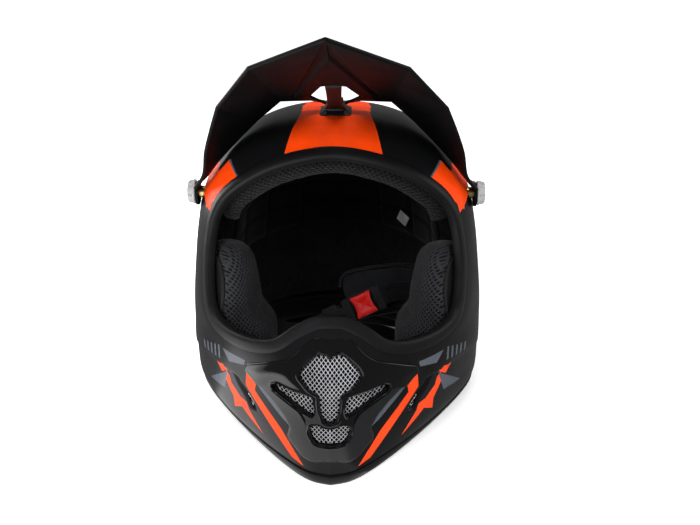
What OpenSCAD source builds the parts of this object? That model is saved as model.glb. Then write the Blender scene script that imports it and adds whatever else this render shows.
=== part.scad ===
// Off-road motorcycle helmet: a full-face shell that stands on its rim, with an adjustable
// visor, impact foam, fabric padding, vents and a chin strap with a quick-release buckle.
// Millimetres. +Z is up, the face opening looks towards -Y, and +X is to the right of somebody
// who looks at the face. The origin is on the plane that the rim rests on, under the middle
// of the whole outline.

/* [Shell and foam] */
// Thickness of the shell's wall
wall = 3.5; // [3:0.1:4]
// Thickness of the impact foam behind the shell
foam = 26; // [22:1:28]
// Thickness of the comfort padding inside the foam
comfort = 6; // [4:0.5:7]

/* [Rubber trims] */
// Thickness of the eyeport trim's rubber
trim_t = 1.8; // [1.4:0.1:2]
// Width of the eyeport trim on the outside of the shell
trim_lip = 8; // [6:0.5:10]
// Height of the rim trim that the helmet stands on
rim_h = 8.5; // [7:0.5:8.5]

/* [Visor] */
// Thickness of the visor's plastic
visor_t = 2.2; // [1.8:0.1:2.6]
// Height of the visor's pivot above the floor
pivot_z = 186; // [184:0.5:188]
// Outer radius of the visor's tongue, which slides on the crown
tongue_r = 77; // [76.8:0.1:77.2]
// Half width of the visor's tongue
tongue_w = 8; // [7.5:0.5:8.5]

/* [Visor screws] */
// Radius of the side screws' shanks
shank_r = 3; // [2.5:0.1:3]
// Radius of the side screws' grips
knob_r = 10.5; // [9:0.5:11]
// Radius of the centre screw's shank
screw_r = 2.5; // [2:0.1:2.5]
// Radial clearance of everything that turns
turn_gap = 0.05; // [0.03:0.01:0.08]

/* [Strap and buckle] */
// Width of the webbing
web_w = 17; // [15:0.5:17]
// Thickness of the webbing
web_t = 1.6; // [1.2:0.1:1.8]
// How far the red button goes down
button_travel = 2.4; // [1.5:0.1:2.4]
// Radius of the rivets' shanks
rivet_r = 3; // [2.5:0.1:3]

/* [Hidden] */
$fn = 48;

// The shell's stations from the rim up: height, front, back, half width, where along Y it is
// widest, and how full its front is along Y and along X. The last one only rounds the crown.
stations = [
    [0, -163.5, 160, 120, 27, 0.82, 1.41],
    [18, -166.5, 172, 126.5, 27, 1.1, 1.33],
    [42, -168, 180, 127.5, 27, 1.28, 1.38],
    [68, -163.5, 183, 128, 27, 1.4, 1.54],
    [96, -150, 184, 127, 26, 1.51, 1.74],
    [126, -129, 182, 124, 25, 1.65, 1.9],
    [158, -111, 177, 120, 25, 1.8, 2],
    [188, -99, 166, 113.5, 25, 1.95, 2],
    [215, -83, 145, 99.5, 24, 2, 2],
    [237, -59, 114, 76, 22, 2, 2],
    [251, -26, 74, 45, 20, 2, 2],
    [255.5, 18, 18, 0, 18, 2, 2],
    [251, 62, -38, -45, 16, 2, 2]
];
last = len(stations) - 2;
crown = [0, stations[last][1], stations[last][0]];
back_round = 2.15;
// How softly the front quarter leaves the widest place
ease = 0.2;
// Reach of the shell from its middle to the side, the front and the back
reach = [128, 192, 158];
around = 60;
around_soft = 40;
// Reach of the blocks that cut the big parts, which is past the whole outline
far = 250;
// Where the cuts through the front and through the back of the shell start and end, along Y
front_cut = [-200, -60];
back_cut = [60, 220];
// The shell's lower edge inside the rim trim, and how far foam and lining keep from the rim
shell_low = 1.9;
foam_low = 38;
chin_foam = [12, 100];
chin_foam_t = 15.2;
lining_low = 112;
// Recess in the chin's foam behind the mouth vent: half width, lowest and highest
chin_recess = [24, 40, 88];
steps = concat([for (s = [0:0.5:10]) s], [10.4, 10.75]);

// Right half of the eyeport's edge, as x and z seen from the front, from the top to the nose
port = [
    [0, 234], [30, 229.5], [58, 218.5], [82, 201], [95, 182.5], [101, 158], [102.7, 133],
    [99.5, 108], [86.6, 100.5], [64, 101], [43, 106], [27, 117], [12, 124.5], [0, 125.5]
];
port_centre_z = 165;

// Right half of the mouth vent's housing, of its windows and of the hole behind them
vent_edge = [
    [0, 114.8], [13, 113], [19, 108.9], [25, 102.4], [33, 96.6], [50, 90.2], [65, 82.9],
    [67, 76.2], [55, 68.8], [48, 70.6], [41, 70.3], [30, 66.3], [20.5, 61.3], [17.5, 56.7],
    [19, 46.9], [14.5, 36.9], [8, 33.4], [0, 33]
];
shield_window = [
    [0, 99.5], [3, 102.5], [7.7, 103.3], [12.2, 101], [20.6, 92.8], [23.5, 86.9],
    [15.7, 79.5], [8, 76.5], [7.2, 65.6], [4.2, 56.6], [0, 55.5]
];
wedge_window = [
    [43.6, 75.5], [38.7, 78], [28.4, 76.1], [12.6, 74.5], [11, 65.1], [12.5, 60.2],
    [20.3, 63.8], [31.5, 68.8], [41.1, 72.4]
];
low_window = [
    [0, 51.1], [4.9, 52.1], [8, 54.2], [14, 53.3], [15.5, 47.2], [11.8, 38.6], [7, 36.5],
    [0, 36.2]
];
vent_hole = [
    [0, 106], [13, 106], [26, 91.2], [46, 80.3], [46, 72], [22, 61.7], [17, 53.7], [17, 45.6],
    [11, 37], [0, 35.5]
];
housing_t = 2.3;

// Slots beside the mouth vent and at the back: middle as x and z, length, width and slope
chin_slot = [66, 52, 21, 4.6, 60];
rear_slot = [42, 150, 34, 9, -28];

// Threaded inserts: radius of the barrel and of the head at the sides and in the crown
insert_r = 4.5;
insert_head_r = 5;
insert_seat_r = 6.6;
crown_insert_r = 4.2;
bore_gap = 0.3;

// Visor: pivot, ear, and the outline as a net of points from the middle to the right arm.
// The first row is the front edge and the last row is the rear edge.
pivot_y = 3;
ear_x = 116.6;
ear_r = 11.5;
visor_net = [
    [[0, -183.2, 339], [7, -177, 335.7], [28, -158.5, 325.8], [55, -134, 313],
        [86, -79, 275], [96, -54, 251], [103.5, -38, 230], [108, -28, 209],
        [118.8, -8, 192.5]],
    [[0, -48, 287.5], [7, -48, 287], [10, -47, 286.5], [50, -60, 288], [78, -42, 263.5],
        [91.5, -33, 242], [101, -25, 223], [109, -20, 206], [118.8, -3, 192.5]],
    [[0, -24, 276], [7, 0, 263.2], [21, -5, 270.5], [48, -2, 269], [69, -7, 252.5],
        [85.5, -12, 235], [99, -14.5, 219], [109.5, -12, 204], [118.8, 4, 192.5]],
    [[0, -12, 270], [7, 8, 263], [21, 10, 265], [47, 11, 264], [66, 4, 249],
        [83, -4, 233], [98, -10, 217.5], [110, -6, 202], [118.8, 12.5, 192.5]]
];
// Cells of the net that stay open: the middle, where the stalk is, and the windows beside it
open_cells = [[1, 0], [2, 0], [1, 1]];
stalk_w = 6.5;
stalk_top = [-50, 286.5];
tongue_front = -13;
tongue_back = 23.5;
slot_front = -5;
slot_back = 16.5;

// Cheek pads: middle and half size in Y and Z of their outline, and how square it is
cheek_mid = [-32, 85];
cheek_half = [40, 70];
cheek_square = 2.6;

// Chin strap: pivot of its plates, buckle's place and turn, and routes of the webbing.
// The left route starts with the straight stretch that the buckle's tongue slides along.
rivet_yz = [50, 55];
buckle_pos = [24, 5, 82];
buckle_lean = 70;
buckle_roll = 25;
web_drop = 3.15;
// Buckle: half length, half width and thickness of its base, length of its cheeks, half side
// of its button, and where its two posts are across it
base_half = [18, 11];
base_t = 2.1;
base_low = -4.6;
cheek_l = 7;
button_half = 9.8;
post_y = 8;
post_r = 1;
// The rivet plates: thickness of the steel and radius round the rivet
plate_t = 1.6;
plate_r = 9;
route_right = [
    [117.3, 41, 59], [108, 33.5, 62], [96, 27, 71], [82, 25, 80.5], [64, 22, 88],
    [50, 14.5, 90.5]
];
route_left = [
    [-38, 4, 55.5], [-52, 15, 54.5], [-70, 26, 56], [-90, 32, 58], [-108, 34, 59],
    [-117.3, 41, 59]
];
route_pad = [
    [6, 14, 84], [22, 17, 88], [40, 21, 90], [60, 28, 89], [80, 32, 83], [97, 28.6, 75]
];
pad_w = 44;
pad_t = 5;

// ---- Curves and surfaces ----

function cr(a, b, c, d, u) = 0.5 * (2 * b + (c - a) * u + (2 * a - 5 * b + 4 * c - d) * u * u
    + (3 * b - a - 3 * c + d) * u * u * u);
function unit(v) = v / norm(v);
function signed_pow(v, e) = sign(v) * pow(abs(v), e);
function flip(p) = concat([-p[0]], [for (i = [1:len(p) - 1]) p[i]]);
function mirrored(half) = concat(half, [for (i = [len(half) - 2:-1:1]) flip(half[i])]);

// One station of the shell at a place s between the rim, 0, and the crown
function row(i) = i < 0 ? 2 * stations[0] - stations[1] : stations[i];
function station(s) = let (i = min(floor(s), last - 1))
    cr(row(i - 1), row(i), row(i + 1), row(i + 2), s - i);
function s_at(z, lo = 0, hi = last, n = 18) = n == 0 ? (lo + hi) / 2 : let (m = (lo + hi) / 2)
    station(m)[0] < z ? s_at(z, m, hi, n - 1) : s_at(z, lo, m, n - 1);

// The front quarter starts slowly from the widest place: eased is undone by uneased
function eased(u, r) = u * u / max(1e-9, u + ease * (2 - r[5]) * (1 - u));
function uneased(v, r) = let (c = ease * (2 - r[5]), b = v * (1 - c))
    (b + sqrt(b * b + 4 * v * c)) / 2;

// A point of the skin at a station and an angle from the front, moved in by inset
function skin(r, a, inset = 0) = let (
        front = cos(a) >= 0,
        end = (front ? r[1] : r[2]) - r[4],
        k = 1 - inset / (front ? reach[1] : reach[2]),
        v = pow(abs(cos(a)), 2 / (front ? r[5] : back_round)))
    [r[3] * (1 - inset / reach[0]) * signed_pow(sin(a), front ? 2 / r[6] : 1),
        r[4] + k * end * (front ? uneased(v, r) : v),
        r[0] * (1 - inset / crown[2])];

// The skin's y at an x and a z of its front, and its x at a y and a z of its side
function front_point(x, z) = let (r = station(s_at(z)), u = min(1, abs(x) / r[3]))
    [x, r[4] + (r[1] - r[4]) * uneased(pow(1 - pow(u, r[6]), 1 / r[5]), r), z];
function side_x(y, z, inset) = let (
        r = station(s_at(z / (1 - inset / crown[2]))),
        front = y < r[4],
        end = ((front ? r[1] : r[2]) - r[4]) * (1 - inset / (front ? reach[1] : reach[2])),
        u = min(1, (y - r[4]) / end))
    r[3] * (1 - inset / reach[0])
        * pow(1 - pow(front ? eased(u, r) : u, front ? r[5] : back_round),
            front ? 1 / r[6] : 0.5);
function front_normal(x, z) = unit(cross(front_point(x + 0.5, z) - front_point(x - 0.5, z),
    front_point(x, z + 0.5) - front_point(x, z - 0.5)));

// A smooth curve through points, n to a stretch, with the last point
function curve(p, n) = let (m = len(p) - 1) concat([for (i = [0:m - 1], k = [0:n - 1])
    cr(i == 0 ? 2 * p[0] - p[1] : p[i - 1], p[i], p[i + 1],
        i == m - 1 ? 2 * p[m] - p[m - 1] : p[i + 2], k / n)], [p[m]]);

// The eyeport's edge as one closed line of x and z, two points to a stretch
port_last = len(port) - 1;
function port_at(i) = i < 0 ? flip(port[-i]) : i > port_last ? flip(port[2 * port_last - i])
    : port[i];
port_loop = mirrored(concat([for (i = [0:port_last - 1], u = [0, 0.5])
    cr(port_at(i - 1), port_at(i), port_at(i + 1), port_at(i + 2), u)], [port[port_last]]));
port_n = len(port_loop);
port_skin = [for (p = port_loop) front_point(p[0], p[1])];
port_out = [for (p = port_loop) front_normal(p[0], p[1])];
port_side = [for (i = [0:port_n - 1]) unit(cross(port_out[i],
    port_skin[(i + 1) % port_n] - port_skin[(i + port_n - 1) % port_n]))];

// ---- Solids from points ----

// Keeps what is inside as one faceted skin
module one_skin() { resize([0, 0, 0]) children(); }

// Faces between m rings of n points each, open or closed into a loop
function ring_faces(m, n, loop) = [for (k = [0:(loop ? m - 1 : m - 2)], i = [0:n - 1], h = [0, 1])
    let (a = k * n, b = ((k + 1) % m) * n, j = (i + 1) % n)
    h == 0 ? [a + i, b + i, b + j] : [a + i, b + j, a + j]];
function flat(rings) = [for (r = rings, p = r) p];

// A tube through rings of points, closed into a loop or with flat ends
module tube(rings, loop = false) {
    m = len(rings);
    n = len(rings[0]);
    ends = loop ? [] : [[for (i = [0:n - 1]) i], [for (i = [n - 1:-1:0]) (m - 1) * n + i]];
    polyhedron(flat(rings), concat(ring_faces(m, n, loop), ends));
}

// The space inside the skin, moved in by inset, with a skirt below the rim
module dome(inset, n = around) {
    rows = concat([concat([-8], [for (i = [1:6]) stations[0][i]])], [for (s = steps) station(s)]);
    m = len(rows);
    points = [for (r = rows, i = [0:n - 1]) skin(r, 360 * i / n, inset)];
    top = [for (i = [0:n - 1]) [(m - 1) * n + i, m * n, (m - 1) * n + (i + 1) % n]];
    polyhedron(concat(points, [[0, crown[1], crown[2] - inset]]),
        concat(ring_faces(m, n, false), top, [[for (i = [0:n - 1]) i]]));
}

// A layer that follows the skin, between two insets
module layer(outer, inner, n = around) {
    difference() {
        dome(outer, n);
        dome(inner, n);
    }
}

// A flat outline of x and z, drawn out along Y between two places
module along_y(outline, cut = front_cut, grow = 0) {
    translate([0, cut[1], 0]) rotate([90, 0, 0]) linear_extrude(cut[1] - cut[0])
        offset(delta = grow) polygon(outline);
}

// All that is below a height, above one, ahead of a place along Y up to a height, or behind it
module below(z) { translate([-far, -far, -far]) cube([2 * far, 2 * far, far + z]); }
module above(z) { translate([-far, -far, z]) cube([2 * far, 2 * far, far]); }
module ahead_of(y, z = 300) { translate([-far, -far, -20]) cube([2 * far, far + y, 20 + z]); }
module behind(y) { translate([-far, y, -20]) cube([2 * far, 2 * far, 320]); }

// A round bar along X between two places, at a y and a z
module bar_x(x0, x1, yz, r) {
    translate([x0, yz[0], yz[1]]) rotate([0, 90, 0]) cylinder(h = x1 - x0, r = r);
}

// A round hole down through the crown, under the visor's centre screw
module crown_bore(r) { translate([0, pivot_y, 230]) cylinder(h = 60, r = r); }

module both_sides() {
    children();
    mirror([1, 0, 0]) children();
}

// The eyeport's hole, cut square to the skin
module port_cutter() {
    rings = [for (d = [9, -14]) [for (i = [0:port_n - 1]) port_skin[i] + d * port_out[i]]];
    points = concat(flat(rings), [[0, -190, port_centre_z], [0, -60, port_centre_z]]);
    ends = [for (i = [0:port_n - 1]) let (j = (i + 1) % port_n)
        for (f = [[i, j, 2 * port_n], [port_n + j, port_n + i, 2 * port_n + 1]]) f];
    polyhedron(points, concat(ring_faces(2, port_n, false), ends));
}

module slot_cutter(slot, cut = front_cut, grow = 0) {
    translate([slot[0], cut[1], slot[1]]) rotate([0, -slot[4], 0]) rotate([90, 0, 0])
        linear_extrude(cut[1] - cut[0]) offset(delta = grow)
            square([slot[2], slot[3]], center = true);
}

// ---- Shell, foam and padding ----

module outer_shell() color("#17181a") one_skin() difference() {
    layer(0, wall);
    below(shell_low);
    port_cutter();
    along_y(mirrored(vent_hole));
    both_sides() {
        slot_cutter(chin_slot);
        slot_cutter(rear_slot, back_cut);
        bar_x(90, 140, [pivot_y, pivot_z], insert_r + bore_gap);
        bar_x(112.2, 140, [pivot_y, pivot_z], insert_seat_r);
        bar_x(90, 140, rivet_yz, rivet_r + 0.4);
    }
    crown_bore(crown_insert_r + 0.2);
}

module eps_crown_liner() color("#2c2c2e") one_skin() difference() {
    layer(wall + 0.6, wall + 0.6 + foam, around_soft);
    below(foam_low);
    ahead_of(-44);
    ahead_of(12, 172);
    ahead_of(70, 104);
    along_y(port_loop, [-far, -16], 4.5);
    both_sides() {
        bar_x(98, 140, [pivot_y, pivot_z], 6);
        slot_cutter(rear_slot, back_cut, 1);
    }
    crown_bore(6);
}

module eps_chin_liner() color("#2c2c2e") one_skin() difference() {
    layer(wall + 0.8, wall + 0.8 + chin_foam_t);
    below(chin_foam[0]);
    behind(-78);
    above(chin_foam[1]);
    along_y(port_loop, [-far, 0], 8);
    translate([-chin_recess[0], -far, chin_recess[1]])
        cube([2 * chin_recess[0], far, chin_recess[2] - chin_recess[1]]);
    both_sides() slot_cutter(chin_slot, front_cut, 2);
}

module comfort_liner() color("#1d1e20") one_skin() difference() {
    layer(wall + 1 + foam, wall + 1 + foam + comfort, around_soft);
    below(lining_low);
    ahead_of(-42);
    ahead_of(14, 174);
    along_y(port_loop, [-far, -14], 4.5);
}

// Padding along the top of the eyeport, from one temple to the other
module brow_pad() color("#202123") {
    side = 9;
    order = [for (i = [-side:side]) (i + port_n) % port_n];
    tube([for (k = order) let (
            b = port_side[k],
            inward = -unit([b[0], 0, b[2]]),
            c = port_skin[k] + inward * 10 + [0, 17, 0])
        [for (a = [0:30:330]) c + inward * 11.5 * cos(a) + [0, 7.5 * sin(a), 0]]]);
}

// A cheek pad's inner face, which stands further out beside the eye than beside the jaw
jaw_x = 50;
eye_x = 66;
jaw_z = 74;
eye_z = 102;
function cheek_x(z) = let (t = min(1, max(0, (z - jaw_z) / (eye_z - jaw_z))))
    jaw_x + (eye_x - jaw_x) * t * t * (3 - 2 * t);
function cheek_yz(r, a) = [cheek_mid[0] + cheek_half[0] * r * signed_pow(cos(a), 2 / cheek_square),
    cheek_mid[1] + cheek_half[1] * r * signed_pow(sin(a), 2 / cheek_square)];
function cheek_point(r, a, depth, inset) = let (
        p = cheek_yz(r, a),
        outer = side_x(p[0], p[1], inset))
    [outer - depth * (outer - cheek_x(p[1])), p[0], p[1]];
cheek_rings = [[0.02, 1], [0.4, 1], [0.7, 1], [0.86, 0.93], [0.95, 0.76], [1, 0.45], [1, 0],
    [0.6, 0], [0.02, 0]];

module cheek_pad_right() color("#232426")
    tube([for (q = cheek_rings) [for (a = [0:12:348]) cheek_point(q[0], a, q[1], 9.5)]]);
module cheek_pad_left() mirror([1, 0, 0]) cheek_pad_right();

// The stiff plate behind a cheek pad
module cheek_plate_right() color("#3a3b3d")
    tube([for (q = [[0.02, 8.4], [0.5, 8.4], [0.86, 8.4], [0.86, 6.6], [0.5, 6.6], [0.02, 6.6]])
        [for (a = [0:15:345]) cheek_point(q[0], a, 0, q[1])]]);
module cheek_plate_left() mirror([1, 0, 0]) cheek_plate_right();

// Press studs that hold a cheek pad's plate to the shell
module cheek_snaps_right() color("#a7a8aa") for (p = [[-14, 48], [-14, 86], [-10, 124]]) {
    gap = [side_x(p[0], p[1], 6.2), side_x(p[0], p[1], wall + 0.4)];
    turn = atan((side_x(p[0] + 2, p[1], wall) - side_x(p[0] - 2, p[1], wall)) / 4);
    translate([(gap[0] + gap[1]) / 2, p[0], p[1]]) rotate([0, 0, -turn]) rotate([0, 90, 0])
        cylinder(h = 1.4, r = 4.5, center = true);
}
module cheek_snaps_left() mirror([1, 0, 0]) cheek_snaps_right();

// Padding round the nape
module neck_roll() color("#1f2022") {
    base = station(s_at(22));
    tube([for (a = [98:7.5:263]) let (
            c = skin(base, a, 20),
            outward = unit([c[0], c[1] - base[4], 0]))
        [for (t = [0:36:324]) c + outward * 10 * cos(t) - [0, 0, 12 * sin(t)]]]);
}

module size_tag() color("#9c9ea1") translate([61, 99, 133]) rotate([0, 0, -38])
    rotate([10, 0, 0]) rotate([0, 30, 0]) cube([12, 0.8, 12], center = true);

// ---- Trims ----

// Rubber that hooks over the eyeport's edge: along the skin and out of it, round the hook
trim_section = [
    [-0.4, -wall - 0.4], [-0.4, 0.4], [trim_lip, 0.4], [trim_lip, 0.9], [trim_lip - 1, trim_t],
    [-1.2, trim_t + 0.4], [-2.2, trim_t - 0.6], [-2.2, -wall - trim_t],
    [4, -wall - trim_t], [4, -wall - 0.4]
];
module eyeport_trim() color("#101112")
    tube([for (i = [0:port_n - 1]) [for (q = trim_section)
        port_skin[i] + q[0] * port_side[i] + q[1] * port_out[i]]], true);

// Rubber round the rim, with the flat face that the helmet stands on
module base_trim() color("#101112") {
    low = station(steps[0]);
    high = station(steps[1]);
    section = [
        [-1.7, 0.8], [-0.9, 0], [4.6, 0], [5.4, 0.8], [5.4, rim_h], [wall + 0.4, rim_h],
        [wall + 0.4, 1.8], [-0.35, 1.8], [-0.35, rim_h], [-1.2, rim_h], [-1.7, rim_h - 1]
    ];
    tube([for (i = [0:around - 1]) let (a = 360 * i / around) [for (q = section) let (
            p = skin(low, a, q[0]) + (skin(high, a, q[0]) - skin(low, a, q[0]))
                * q[1] / high[0])
        [p[0], p[1], q[1]]]], true);
}

// ---- Vents ----

module mouth_vent_housing() color("#08090a") one_skin() difference() {
    intersection() {
        layer(-0.3 - housing_t, -0.3);
        along_y(mirrored(vent_edge));
    }
    along_y(mirrored(shield_window));
    along_y(mirrored(low_window));
    both_sides() along_y(wedge_window);
}

module mouth_vent_mesh() color("#b9bbbd") one_skin() intersection() {
    layer(1, 1.8);
    along_y(mirrored(vent_hole), front_cut, -0.5);
}

module chin_vent_right() color("#b9bbbd") one_skin() intersection() {
    layer(0.8, 1.6);
    slot_cutter(chin_slot, front_cut, -0.4);
}
module chin_vent_left() mirror([1, 0, 0]) chin_vent_right();

// A barred insert in the exhaust slot at the back
module rear_vent_right() color("#0c0d0e") one_skin() intersection() {
    layer(0.4, 3);
    difference() {
        slot_cutter(rear_slot, back_cut, -0.4);
        for (k = [-1:1]) slot_cutter([rear_slot[0], rear_slot[1] + k * 2.7, rear_slot[2] - 4,
            1.6, rear_slot[4]], back_cut);
    }
}
module rear_vent_left() mirror([1, 0, 0]) rear_vent_right();

// ---- Visor and its screws ----

// The whole net from the left arm to the right one, and its plate
net_rows = len(visor_net);
net_cols = 2 * len(visor_net[0]) - 1;
net_mid = len(visor_net[0]) - 1;
function net(r, c) = c < net_mid ? flip(visor_net[r][net_mid - c]) : visor_net[r][c - net_mid];
function net_normal(r, c) = unit(cross(
    net(r, min(c + 1, net_cols - 1)) - net(r, max(c - 1, 0)),
    net(min(r + 1, net_rows - 1), c) - net(max(r - 1, 0), c)));
function is_open(r, k) = len([for (q = open_cells) if (q == [r, k]) q]) > 0;
function is_cell(r, c) = r >= 0 && c >= 0 && r < net_rows - 1 && c < net_cols - 1
    && !is_open(r, c < net_mid ? net_mid - 1 - c : c - net_mid);
function quad(a, b, c, d) = [[a, b, c], [a, c, d]];

module visor_plate() {
    n = net_rows * net_cols;
    top = [for (r = [0:net_rows - 1], c = [0:net_cols - 1]) net(r, c)];
    under = [for (r = [0:net_rows - 1], c = [0:net_cols - 1])
        net(r, c) - visor_t * net_normal(r, c)];
    faces = [for (r = [0:net_rows - 2], c = [0:net_cols - 2]) if (is_cell(r, c)) let (
            a = r * net_cols + c,
            b = a + 1,
            d = a + net_cols,
            e = d + 1)
        for (f = concat(
            quad(a, d, e, b),
            quad(a + n, b + n, e + n, d + n),
            is_cell(r - 1, c) ? [] : quad(a, b, b + n, a + n),
            is_cell(r + 1, c) ? [] : quad(e, d, d + n, e + n),
            is_cell(r, c - 1) ? [] : quad(d, a, a + n, d + n),
            is_cell(r, c + 1) ? [] : quad(b, e, e + n, b + n))) f];
    polyhedron(concat(top, under), faces);
}

// The arc on which the visor's tongue slides, centred on the pivot
module pivot_drum(r, half) { bar_x(-half, half, [pivot_y, pivot_z], r); }

module visor_tongue() difference() {
    intersection() {
        pivot_drum(tongue_r, tongue_w);
        translate([-20, tongue_front, 240]) cube([40, tongue_back - tongue_front, 40]);
    }
    pivot_drum(tongue_r - visor_t, 30);
    translate([-screw_r - 0.2, slot_front, 240]) cube([2 * screw_r + 0.4,
        slot_back - slot_front, 40]);
    for (y = [slot_front, slot_back])
        translate([0, y, 240]) cylinder(h = 40, r = screw_r + 0.2);
}

module visor_peak() color("#131416") difference() {
    union() {
        visor_plate();
        visor_tongue();
        hull() {
            translate([-stalk_w, stalk_top[0], stalk_top[1] - visor_t])
                cube([2 * stalk_w, 0.5, visor_t]);
            translate([-stalk_w, tongue_front, 259.4]) cube([2 * stalk_w, 1.5, visor_t]);
        }
        both_sides() bar_x(ear_x, ear_x + visor_t, [pivot_y, pivot_z], ear_r);
    }
    both_sides() bar_x(100, 140, [pivot_y, pivot_z], shank_r + turn_gap);
}

module visor_mount_base() color("#0d0e0f") one_skin() difference() {
    intersection() {
        pivot_drum(tongue_r - visor_t - 0.2, 16);
        hull() both_sides() for (y = [-7, 21])
            translate([11, y, 240]) cylinder(h = 40, r = 5, $fn = 32);
    }
    dome(-0.1);
    crown_bore(crown_insert_r + 0.2);
}

module crown_insert() color("#b08d3c") translate([0, pivot_y, 0]) difference() {
    translate([0, 0, 244]) cylinder(h = 15.6, r = crown_insert_r);
    translate([0, 0, 240]) cylinder(h = 30, r = screw_r + turn_gap);
}

module visor_centre_screw() color("#1a1b1c") translate([0, pivot_y, 0]) difference() {
    union() {
        translate([0, 0, 246]) cylinder(h = 18, r = screw_r);
        translate([0, 0, pivot_z + tongue_r + 0.2]) cylinder(h = 3.2, r = 6.4);
    }
    translate([-5, -0.7, pivot_z + tongue_r + 2]) cube([10, 1.4, 5]);
}

// A side screw with a fluted grip, and the threaded insert that it turns in
module visor_knob_right() color("#d9dadb") difference() {
    union() {
        bar_x(104, 120, [pivot_y, pivot_z], shank_r);
        bar_x(ear_x + visor_t + 0.3, 126, [pivot_y, pivot_z], knob_r);
    }
    for (a = [0:45:315])
        bar_x(ear_x + visor_t + 2.3, 130, [pivot_y + (knob_r + 1.4) * cos(a),
            pivot_z + (knob_r + 1.4) * sin(a)], 2.6);
}
module visor_knob_left() mirror([1, 0, 0]) visor_knob_right();

module visor_insert_right() color("#b08d3c") difference() {
    union() {
        bar_x(103, 112.4, [pivot_y, pivot_z], insert_r);
        bar_x(112.4, ear_x - 0.2, [pivot_y, pivot_z], insert_head_r);
    }
    bar_x(90, 130, [pivot_y, pivot_z], shank_r + turn_gap);
}
module visor_insert_left() mirror([1, 0, 0]) visor_insert_right();

// ---- Chin strap ----

rivet_face = side_x(rivet_yz[0], rivet_yz[1], 0);

module strap_rivet_right() color("#8b8d90") {
    bar_x(113.6, rivet_face + 0.8, rivet_yz, rivet_r);
    bar_x(rivet_face + 0.5, rivet_face + 1.8, rivet_yz, 5.5);
    bar_x(112.6, 113.8, rivet_yz, 5.2);
}
module strap_rivet_left() mirror([1, 0, 0]) strap_rivet_right();

// A steel plate that turns on the rivet and carries the webbing on its bar
module strap_plate_right() color("#8b8d90") difference() {
    union() {
        bar_x(114.2, 114.2 + plate_t, rivet_yz, plate_r);
        translate([114.2, 35, 48]) cube([plate_t, 15, 22]);
    }
    bar_x(110, 120, rivet_yz, rivet_r + turn_gap);
    translate([110, 37.5, 50]) cube([10, 3, 18]);
}
module strap_plate_left() mirror([1, 0, 0]) strap_plate_right();

module at_buckle() {
    translate(buckle_pos) rotate([buckle_lean, 0, 0]) rotate([0, 0, buckle_roll]) children();
}
function turned(p) = let (
        x = p[0] * cos(buckle_roll) - p[1] * sin(buckle_roll),
        y = p[0] * sin(buckle_roll) + p[1] * cos(buckle_roll))
    [x, y * cos(buckle_lean) - p[2] * sin(buckle_lean),
        y * sin(buckle_lean) + p[2] * cos(buckle_lean)];
function buckle_point(p) = buckle_pos + turned(p);

// A flat band along a route, whose width turns from one direction to another
module band(route, from, to, w, t) {
    m = len(route) - 1;
    tube([for (i = [0:m]) let (
            along = unit(route[min(i + 1, m)] - route[max(i - 1, 0)]),
            across = unit(from + (to - from) * i / m),
            out = unit(cross(along, across)),
            side = cross(out, along))
        [for (q = [[-1, -1], [1, -1], [1, 1], [-1, 1]])
            route[i] + side * q[0] * w / 2 + out * q[1] * t / 2]]);
}

module strap_right() color("#1b1c1e")
    band(curve(concat(route_right, [buckle_point([21, 0, 0]), buckle_point([13, 0, 0])]), 3),
        [0, 0, 1], turned([0, 1, 0]), web_w, web_t);

module strap_left() color("#1b1c1e")
    band(concat([buckle_point([-20, 0, -web_drop]), buckle_point([-40, 0, -web_drop])],
        curve(concat([buckle_point([-57, 0, -web_drop])], route_left), 3)),
        turned([0, 1, 0]), [0, 0, 1], web_w, web_t);

// The padded flap behind the buckle, which keeps it off the skin
module strap_pad() color("#202123")
    band(curve(route_pad, 2), turned([0, 1, 0]), [0, 0, 1], pad_w, pad_t);

// ---- Buckle: x along the webbing, y across it, z towards the wearer's fingers ----

module buckle_housing() color("#101112") at_buckle() difference() {
    union() {
        translate([-base_half[0], -base_half[1], base_low])
            cube([2 * base_half[0], 2 * base_half[1], base_t]);
        for (x = [-base_half[0], base_half[0] - cheek_l])
            translate([x, -base_half[1], -2.6]) cube([cheek_l, 2 * base_half[1], cheek_l]);
        for (y = [-post_y, post_y]) translate([0, y, -2.6]) cylinder(h = 5.2, r = post_r);
    }
    translate([-30, -5.8, -2.4]) cube([30, 11.6, 1.9]);
    translate([10, -web_w / 2 - 0.4, -web_t / 2 - 0.6]) cube([12, web_w + 0.8, web_t + 1.2]);
}

module buckle_button() color("#d8261c") at_buckle() difference() {
    translate([-button_half, -button_half, 1.9])
        cube([2 * button_half, 2 * button_half, 4.5]);
    for (x = [-29, 29]) translate([x, 0, -10]) cylinder(h = 30, r = 21, $fn = 96);
    for (y = [-post_y, post_y]) translate([0, y, 0]) cylinder(h = 5.3, r = post_r + turn_gap);
    translate([0, 0, 13.4]) sphere(r = 8);
}

module buckle_springs() color("#b9bbbd") at_buckle() for (y = [-post_y, post_y])
    translate([0, y, -2.4]) difference() {
        cylinder(h = 4.2, r = 1.7);
        translate([0, 0, -1]) cylinder(h = 10, r = 1.2);
    }

module buckle_tongue() color("#2a2b2d") at_buckle() difference() {
    union() {
        translate([-24, -5.5, -2.2]) cube([26, 11, 1.5]);
        translate([-37, -10.5, -5.4]) cube([14, 21, 4.7]);
    }
    translate([-50, -web_w / 2 - 0.4, -web_drop - web_t / 2 - 0.35])
        cube([40, web_w + 0.8, web_t + 0.7]);
}

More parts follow.
